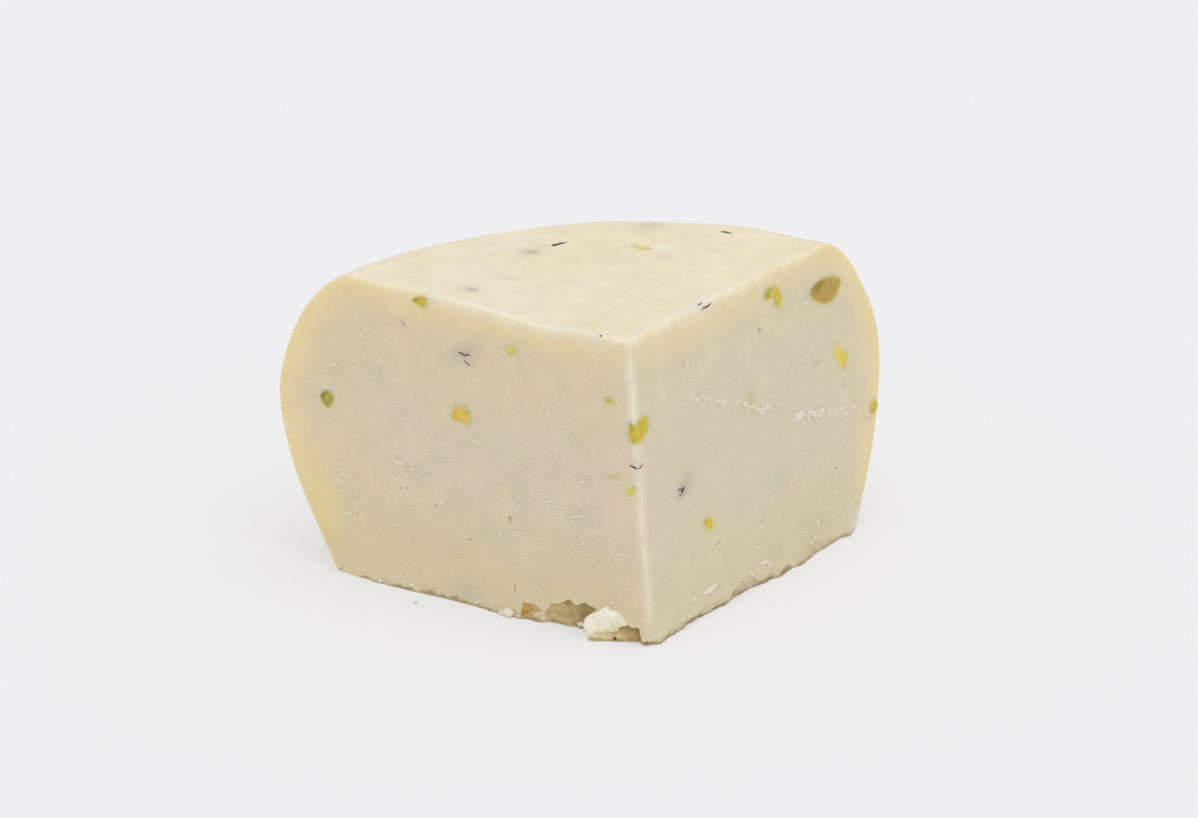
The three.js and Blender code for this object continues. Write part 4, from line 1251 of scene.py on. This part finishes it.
# Each stain or patch of painted shade fades as exp(-r^2), r from its two reaches and roughened by noise.
def stainAndShadeColours(points, clean, depths):
    colour = np.zeros((len(points), 3))
    cover = np.zeros(len(points))
    rough = markRoughness * cloud(points, 1.7, 91)
    for side, place, reaches, tilt, tint, strength in stainsAndShade:
        a, b, depth = fromMark(side, place, clean, depths)
        low = side in cuts and place[1] < footMarkHeight
        own = depth < (footMarkDepth if low else markDepth)
        turn = math.radians(tilt)
        u, v = a * math.cos(turn) + b * math.sin(turn), b * math.cos(turn) - a * math.sin(turn)
        spread = (u / reaches[0]) ** 2 + (v / reaches[1]) ** 2
        share = own * strength * np.exp(-np.maximum(spread * (1 + rough), 0))
        total = cover + share * (1 - cover)
        blend = np.where(total > 1e-6, share / np.maximum(total, 1e-6), 0)[:, None]
        colour = colour * (1 - blend) + np.array(tint) * blend
        cover = total
    return np.concatenate([colour, cover[:, None]], -1)


# What the material needs to know of each point, worked out from where it is.
def markCheese(piece):
    points = wheelPlaces(piece.data.vertices, "co")
    clean = unwarp(points)
    depths = {name: np.maximum(cutDepth(cut, clean), 0) for name, cut in cuts.items()}
    outside, out = wheelDepth(clean)
    depths["wheel"] = np.maximum(outside, 0)
    nearestCut = np.minimum(depths["left"], depths["right"])
    setAttribute(piece.data, "rindDepth", depths["wheel"])
    setAttribute(piece.data, "cutShare", smooth(0.5 + (depths["wheel"] - nearestCut) / quarter["cutBlend"]))
    setAttribute(piece.data, "topShare", grown(out[:, 2], *quarter["topTurn"]))
    # Paler edges: partly wear, partly a painted highlight where light catches the rounded edges.
    wearAndSheen = np.exp(-((np.maximum(depths["left"], depths["right"]) / quarter["sheenWearWidth"]) ** 2))
    wearAndSheen *= grown(clean[:, 2], *quarter["sheenWearFoot"]) * (0.93 + 0.14 * cloud(points, 2.5, 97, 2))
    line = fromEdge(clean)
    for name, cut in cuts.items():
        along = line @ cut["along"]
        fade = np.interp(along, *np.array(quarter[name + "TopWear"]).T)
        fade *= grown(clean[:, 2], *quarter["topSheenWearFoot"])
        rim = np.exp(-((np.maximum(depths[name], depths["wheel"]) / quarter["topSheenWearWidth"]) ** 2))
        wearAndSheen = np.maximum(wearAndSheen, rim * fade)
    setAttribute(piece.data, "edgeWearAndSheen", wearAndSheen)
    setAttribute(piece.data, "stainAndShade", stainAndShadeColours(points, clean, depths), "FLOAT_COLOR")
    onLeft = depths["left"] < depths["right"]
    along = np.where(onLeft, line @ cuts["left"]["along"], rightStart + line @ cuts["right"]["along"])
    setAttribute(piece.data, "place", np.stack([along, clean[:, 2], 0 * along], -1), "FLOAT_VECTOR")


markCheese(cheeseQuarter)
cheeseQuarter.data.shade_smooth()
cheeseQuarter.data.set_sharp_from_angle(angle=math.radians(quarter["sharpAngle"]))
finishPiece(cheeseQuarter, cheese, ["cheese_quarter"])
print("cheese marked")


# Skins of the nuts, and a few pale strips that are painted glints: side, path, width, thickness and colour,
# and for some how far it is lifted.
nearBlack, darkBrown, redBrown = (0.05, 0.033, 0.028), (0.13, 0.08, 0.065), (0.28, 0.15, 0.10)
purpleBlack, tan = (0.05, 0.028, 0.045), (0.45, 0.32, 0.22)
skinsAndGlints = [
    ("top", (-9, 68.3, -7.9, 69.3, -6.7, 69.9, -5.1, 70.1), 1.2, 0.4, darkBrown),
    ("top", (-9.4, 68.5, -8.3, 69.4, -7, 69.7), 0.9, 0.45, nearBlack),
    ("top", (-11.9, 69.2, -11.2, 69.4), 0.6, 0.2, tan),
    ("top", (30.1, 71, 31.3, 70.6, 32.9, 69.2), 1.1, 0.35, (0.20, 0.10, 0.07)),
    ("top", (-9.1, 11.6, -8.7, 12.4), 0.8, 0.3, redBrown),
    ("top", (15.5, 80.4, 16.3, 80.8), 0.7, 0.25, tan),
    ("left", (45.5, 59.4, 44.3, 59.3, 43.4, 58.9, 42.4, 59.3, 41.5, 59), 0.62, 0.3, (0.20, 0.135, 0.12)),
    ("left", (44, 57.9, 43.1, 57.3, 42, 56.8), 0.42, 0.2, redBrown),
    ("left", (60.2, 63.8, 59.4, 63.3, 58.7, 62.5), 0.38, 0.15, (0.55, 0.36, 0.28)),
    ("right", (15.2, 31.1, 15.8, 31.4, 16.3, 31.9, 16.6, 32.4), 0.85, 0.35, (0.075, 0.052, 0.045)),
    ("right", (15.3, 31.7, 15.9, 31.3, 16.4, 31.4), 0.7, 0.3, (0.075, 0.052, 0.045)),
    ("right", (13.9, 31.7, 14.5, 32.2, 15.3, 32.1, 15.8, 31.7), 0.36, 0.25, darkBrown),
    ("right", (14.6, 30.9, 15.3, 30.6), 0.4, 0.2, purpleBlack),
    ("right", (28, 69.1, 29.2, 69.6, 30.6, 69.5, 32.9, 69.9), 0.6, 0.25, redBrown),
    ("right", (27, 71.5, 28.6, 71.2, 30.4, 71.1), 0.55, 0.3, darkBrown),
    ("right", (24.6, 68.7, 25.2, 68.4), 0.3, 0.12, tan),
    ("right", (49.9, 58.7, 50.8, 58.5), 0.35, 0.15, redBrown),
    ("right", (19.6, 59.9, 20.3, 59.6), 0.35, 0.15, tan),
    ("right", (71.5, 44.3, 72.4, 44.1), 0.35, 0.15, tan),
    ("edge", (-2.3, 42.1, -1.1, 41.7, 0, 41.4), 0.55, 0.35, darkBrown),
    ("edge", (0, 41.4, 1, 41.7, 2, 42.4), 0.5, 0.35, redBrown),
    ("edge", (-0.7, 42.3, 0, 42.2, 0.7, 42.4), 0.75, 0.3, (0.95, 0.82, 0.75)),
    ("edge", (-0.1, 51.2, 0.1, 49.5, 0.3, 47.6), 0.45, 0.2, (0.84, 0.76, 0.40)),
    # painted glint: a pale strip on the kernel at the long edge stands in for a highlight
    ("edge", (-1.5, 50.5, -1.3, 50.9), 0.55, 0.25, (0.94, 0.90, 0.70)),
    # painted glints: pale arcs on the outer left kernel stand in for highlights
    ("left", (82.9, 42.4, 82, 42.7), 0.28, 0.25, (0.93, 0.88, 0.72)),
    ("left", (83.6, 43.8, 82.4, 44, 81.3, 43.8), 0.35, 0.2, (0.93, 0.86, 0.74)),
    ("left", (31.3, 61.9, 31, 61.6), 0.4, 0.2, (0.50, 0.36, 0.10)),
    ("left", (8.5, 0.55, 9.4, 1), 0.6, 0.35, nearBlack, 0.75),
]


# Many small bodies as one piece, each with a tint of its own.
def addScattered(name, bodies, tints, attribute, material):
    piece = addMesh(name, joined(bodies))
    colours = np.concatenate([np.tile([*tint, 1.0], (len(body[0]), 1)) for body, tint in zip(bodies, tints)])
    setAttribute(piece.data, attribute, colours, "FLOAT_COLOR")
    finishPiece(piece, material)


bodies = [strip(*row[:4], rows=11, lift=row[5] if len(row) > 5 else 0) for row in skinsAndGlints]
addScattered("pistachio_skins_and_glints", bodies, [row[4] for row in skinsAndGlints], "skinAndGlintTint", skinAndGlint)
print("skins laid,", len(skinsAndGlints))

# White flecks and scratches, and one painted glint on the edge: paths or single places on each side, two
# numbers for each place, and clusters of seeded ones (place, count), spread along and up.
flecks = {
    "width": 0.5, "thick": 0.3, "brightWidth": 0.85, "spread": (3.6, 1.5), "seed": 12,
    "tint": (1.0, 0.90, 0.67), "brightTint": (1.0, 0.94, 0.76),
    "more": 1.45,  # times the clusters' counts
    "wider": {"left": 1.25, "right": 0.95},  # times the width
    "lowest": {"left": 8.0, "right": 3.5}, "pastNotch": 35.0,  # seeded ones keep clear of the torn feet
    "left": [
        (81.7, 49.8, 77.1, 49.3), (69.3, 50.8, 65.3, 50.6), (70.4, 48.5), (68.4, 48.9), (75.4, 51.9),
        (82, 23.7, 77, 23.5), (66.7, 30.6, 63.5, 29.8, 61.4, 29.4), (57.5, 30.4, 55.2, 29.2), (57.3, 27.1),
        (55.4, 27.6), (44.8, 38.9, 42, 38.9, 39.7, 38.5), (34.1, 52.4), (33.3, 47.5),
        (22, 52.3, 22.3, 50.4, 22.4, 48.5), (28.2, 37.6), (25.2, 38.2), (41.6, 38.6), (17.9, 46.4),
        (7.9, 20.5, 5.3, 20.4, 2.7, 20.3), (7.4, 25.5), (7, 24), (17.7, 21.2), (15.3, 19.6), (33.5, 27.4),
        (27, 28.2, 25.2, 28.7, 23.6, 28.9), (16.8, 35.1, 12.9, 35.9), (38.2, 18.1), (34, 18.9),
        (19.6, 26.4, 17, 27.1, 14.4, 27.5), (15, 24.6), (19.3, 20.9, 16.7, 21.4), (12.5, 22.2), (5.9, 18.8),
        (36.3, 10.2), (41.9, 1.9), (45.8, 1), (35.1, 3.6), (83.7, 43.9), (80.9, 44.7), (70, 0.2),
        (64.7, 1.3, 62, 1.2), (57.6, 6.7, 56, 6.3), (79.9, 2.8)],
    "leftBright": [
        (60.1, 41.1), (55.1, 42.9), (76.9, 19.5), (75.4, 18.1), (77.2, 15.8), (15.9, 53.2), (15.1, 19.7),
        (30.1, 10.3), (71.6, 0.5)],
    "right": [
        (54.1, 51.4), (53.9, 49.7), (68.7, 47.1), (71.1, 45.7), (64.8, 31.1), (21.6, 55.5), (27.8, 52),
        (68.8, 59.1, 71.8, 59.7), (40.4, 3.6), (44.3, 5.2), (82.6, 18), (90.5, 25.8, 92.4, 24.5),
        (22.4, 20.8), (24.2, 71.5, 31.3, 71.6)],
    "rightBright": [(42.8, 9.5), (81.8, 11.3), (68.2, 7.2), (21.5, 5.2), (25, 5.7)],
    # the first on the edge is a painted glint below the V-shaped skin
    "edgeBright": [(-0.6, 39.8, 0.5, 40.5), (-0.2, 42.3), (-1.4, 52.6), (1.2, 39), (-2.4, 36.9)],
    "topBright": [(-10.6, 14.1), (-9.3, 14.7), (-7.7, 13.5), (-9.8, 13), (-6.6, 12.4)],
    "leftClusters": [
        (78, 50, 7), (67, 50.5, 6), (72, 47, 4), (62, 42, 5), (76.5, 18, 8), (80, 23.6, 5), (64, 30, 7),
        (57, 29, 6), (51, 33, 5), (42.5, 38.7, 9), (50, 38, 4), (21, 50.5, 10), (26, 37.6, 7),
        (17.5, 46, 4), (30, 27.5, 8), (36, 18.4, 8), (17, 26.8, 9), (15.5, 20.8, 11), (8, 21.5, 8),
        (9, 8, 4), (31, 10.3, 9), (43, 2.4, 6), (82, 44.3, 4), (62, 2, 6), (70, 1.5, 6), (36, 33, 5),
        (12, 35.5, 5), (52, 12, 5), (66, 12, 4), (24, 14, 6)],
    "rightClusters": [
        (69.5, 32.6, 6), (55, 50, 2), (70, 46.5, 3), (44, 4.6, 6), (66, 7, 7), (76, 9, 8), (24, 5.4, 6),
        (60, 25, 2), (36, 12, 2), (52, 8, 5), (84, 14, 7), (88, 24, 5)],
}


# Paths of every fleck on a side: given ones, then short ones near level, spread as a normal draw.
def fleckPaths(side, draw):
    paths = []
    wider = flecks["wider"].get(side, 1)
    for key, width, tint in (("", flecks["width"] * wider, flecks["tint"]),
                             ("Bright", flecks["brightWidth"], flecks["brightTint"])):
        for places in flecks.get(side + key, []):
            if len(places) == 2:
                (a, b), half, tilt = places, draw.uniform(0.3, 0.65), draw.uniform(-0.5, 0.5)
                path = [(a - half, b - half * tilt), (a + half, b + half * tilt)]
            else:
                path = [(a, b + draw.uniform(-0.12, 0.12)) for a, b in np.reshape(places, (-1, 2))]
            paths.append((path, width * draw.uniform(0.75, 1.2), tint))
    for a, b, count in flecks.get(side + "Clusters", []):
        count = round(count * flecks["more"])
        for away, rise, half, tilt, wide in zip(
                draw.normal(0, flecks["spread"][0], count), draw.normal(0, flecks["spread"][1], count),
                draw.uniform(0.2, 0.9, count), draw.uniform(-0.3, 0.3, count),
                draw.uniform(0.4, 0.85, count)):
            x = np.clip(a + away, 1.0, 92)
            lowest = 0.8 if side == "left" and x > flecks["pastNotch"] else flecks["lowest"][side]
            y = max(b + rise, lowest)
            paths.append(([(x - half, y - half * tilt), (x + half, y + half * tilt)],
                          flecks["width"] * wider * wide, flecks["tint"]))
    return paths


draw = np.random.default_rng(flecks["seed"])
bodies, tints = [], []
for side in ("left", "right", "edge", "top"):
    for path, width, tint in fleckPaths(side, draw):
        bodies.append(strip(side, path, width, flecks["thick"], rows=4, columns=5, proud=0.0))
        tints.append(tint)
addScattered("pale_flecks_and_glint", bodies, tints, "crumbAndGlintTint", crumbAndGlint)
print("flecks laid,", len(bodies))

# The crumbly line across the right cut: flat crumbs beside a path, thickest where it is brightest.
crumbLine = {
    "path": [(22.3, 51.3), (26.5, 50.1), (28.0, 48.7), (30.7, 48.6), (33.0, 46.5), (34.7, 45.6), (37.7, 45.0),
             (41.1, 44.0), (45.6, 40.9), (49.6, 40.4), (55.7, 38.6), (61.0, 34.6), (64.6, 33.9), (69.6, 32.9),
             (72.6, 31.6), (82.6, 28.9), (88.3, 29.3)],
    "marks": [22.9, 27.4, 32.6, 34.3, 40.2, 42.5, 45.3, 47.2, 50.7, 56, 61.4, 63.9, 66.8, 69.5, 71.5, 73,
        77, 82.3, 85],
    "seed": 5, "each": 6, "spread": (1.1, 0.55), "halves": (0.3, 0.95), "tint": (0.98, 0.89, 0.70),
    "bright": (60, 75), "brightSize": 1.35,  # between these places the crumbs are longer
    "flakes": [(24.0, 5.85, 3.0, 0.75, 3), (17.3, 5.6, 0.9, 0.6, 20), (12.4, 2.6, 0.6, 0.35, 10),
               (14.8, 2.4, 0.6, 0.35, 0), (11.5, 4.0, 0.5, 0.3, 0), (40.1, 4.2, 0.9, 0.5, -30),
               (45.5, 4.9, 2.2, 0.5, -12), (64.9, 3.3, 0.9, 0.4, 30), (66.9, 4.1, 0.8, 0.5, 40),
               (68.1, 7.2, 0.8, 0.4, 30), (43.2, 9.1, 0.6, 0.4, 0)],  # along, up, halves and tilt
    "flakeTint": (0.92, 0.83, 0.67),
}
draw = np.random.default_rng(crumbLine["seed"])
line = np.array(crumbLine["path"])
bodies = []
for k, mark in enumerate(crumbLine["marks"]):
    for j in range(crumbLine["each"]):
        a = mark + draw.normal(0, crumbLine["spread"][0])
        b = np.interp(a, line[:, 0], line[:, 1]) + draw.normal(0, crumbLine["spread"][1])
        bright = crumbLine["bright"][0] < mark < crumbLine["bright"][1]
        long = draw.uniform(*crumbLine["halves"]) * (crumbLine["brightSize"] if bright else 1)
        halves = (long, long * draw.uniform(0.28, 0.5), 0.28)
        bodies.append(pebbleOn("right", a, b, -0.03, halves, draw.uniform(20, 75), 11 * k + j,
                               rows=3, columns=6, rough=0.3))
tints = [crumbLine["tint"]] * len(bodies)
for k, (a, b, long, across, tilt) in enumerate(crumbLine["flakes"]):
    bodies.append(pebbleOn("right", a, b, 0.0, (long, across, 0.17), tilt, 7 * k + 1,
                           rows=7, columns=16, rough=0.35))
    tints.append(crumbLine["flakeTint"])
# Crumbs that lie on the floor beside the foot: place, half size and colour.
floorCrumbs = [((-24.2, 24.0), 0.45, (0.86, 0.80, 0.66)), ((-26.9, 26.3), 0.4, (0.88, 0.84, 0.70)),
               ((-46.5, 36.2), 0.35, (0.76, 0.64, 0.60)), ((-20.5, 21.4), 0.3, (0.80, 0.70, 0.50))]
for k, ((x, y), half, tint) in enumerate(floorCrumbs):
    sizes = np.array([half * 1.3, half, half * 0.7])
    bodies.append(pebble(np.array([x, y, half * 0.75]), np.eye(3), sizes, 5 * k + 2))
    tints.append(tint)
addScattered("pale_crumbs", bodies, tints, "crumbAndGlintTint", crumbAndGlint)
print("crumbs laid,", len(bodies))

studio = {
    "floorSize": 30.0, "floorTone": (0.45, 0.45, 0.46), "floorGlow": 0.43,
    "domeTone": 0.62, "seenTone": 0.863,  # of the dome as a light, and as the background that is seen
    "overhead": 1.15, "overheadAngle": 75, "overheadLean": (16, 5.5),
    "camera": (-220.978, -1140.997, 484.258), "azimuth": -10.95, "elevation": 20.995, "lens": 165.47,
}


# The floor glows evenly too, so that it stays pale and shadows on it stay faint.
def makeFloor():
    half = studio["floorSize"] / 2
    mesh = bpy.data.meshes.new("floor")
    corners = [(-half, -half, 0), (half, -half, 0), (half, half, 0), (-half, half, 0)]
    mesh.from_pydata(corners, [], [(0, 1, 2, 3)])
    floor = bpy.data.objects.new("floor", mesh)
    bpy.context.scene.collection.objects.link(floor)
    material, tree = newMaterial("pale_floor")
    shader = addNode(tree, "ShaderNodeBsdfPrincipled", {
        "Base Color": opaque(studio["floorTone"]), "Roughness": 1.0, "Specular IOR Level": 0.0,
        "Emission Color": opaque((0.985, 0.992, 1)), "Emission Strength": studio["floorGlow"]})
    finishMaterial(tree, shader)
    mesh.materials.append(material)
    floor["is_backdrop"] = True


# An even dome, a little brighter where it is seen, and a wide soft lamp overhead.
def makeLight():
    world = bpy.data.worlds.new("studio")
    bpy.context.scene.world = world
    world.use_nodes = True
    tree = world.node_tree
    tree.nodes.clear()
    dome = addNode(tree, "ShaderNodeBackground", {"Color": opaque((studio["domeTone"],) * 3)})
    seen = addNode(tree, "ShaderNodeBackground", {"Color": opaque((studio["seenTone"],) * 3)})
    ray = addNode(tree, "ShaderNodeLightPath")
    mixed = addNode(tree, "ShaderNodeMixShader", {0: ray.outputs["Is Camera Ray"], 1: dome.outputs[0],
                                                  2: seen.outputs[0]})
    addNode(tree, "ShaderNodeOutputWorld", {"Surface": mixed.outputs[0]})
    sun = bpy.data.lights.new("overhead", "SUN")
    sun.energy = studio["overhead"]
    sun.angle = math.radians(studio["overheadAngle"])
    lamp = bpy.data.objects.new("overhead", sun)
    lamp.rotation_euler = [math.radians(angle) for angle in (*studio["overheadLean"], 0)]
    bpy.context.scene.collection.objects.link(lamp)


def makeCamera():
    data = bpy.data.cameras.new("camera")
    data.lens, data.sensor_width = studio["lens"], 36.0
    camera = bpy.data.objects.new("camera", data)
    camera.location = [value / 1000 for value in studio["camera"]]
    camera.rotation_euler = (math.radians(90 - studio["elevation"]), 0, math.radians(studio["azimuth"]))
    bpy.context.scene.collection.objects.link(camera)
    bpy.context.scene.camera = camera


makeFloor()
makeLight()
makeCamera()
bpy.context.scene.view_settings.view_transform = "Standard"
print("studio set")

sizes = {"cad": [list(corner) for corner in cadBox], "visual": [list(corner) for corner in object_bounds()]}
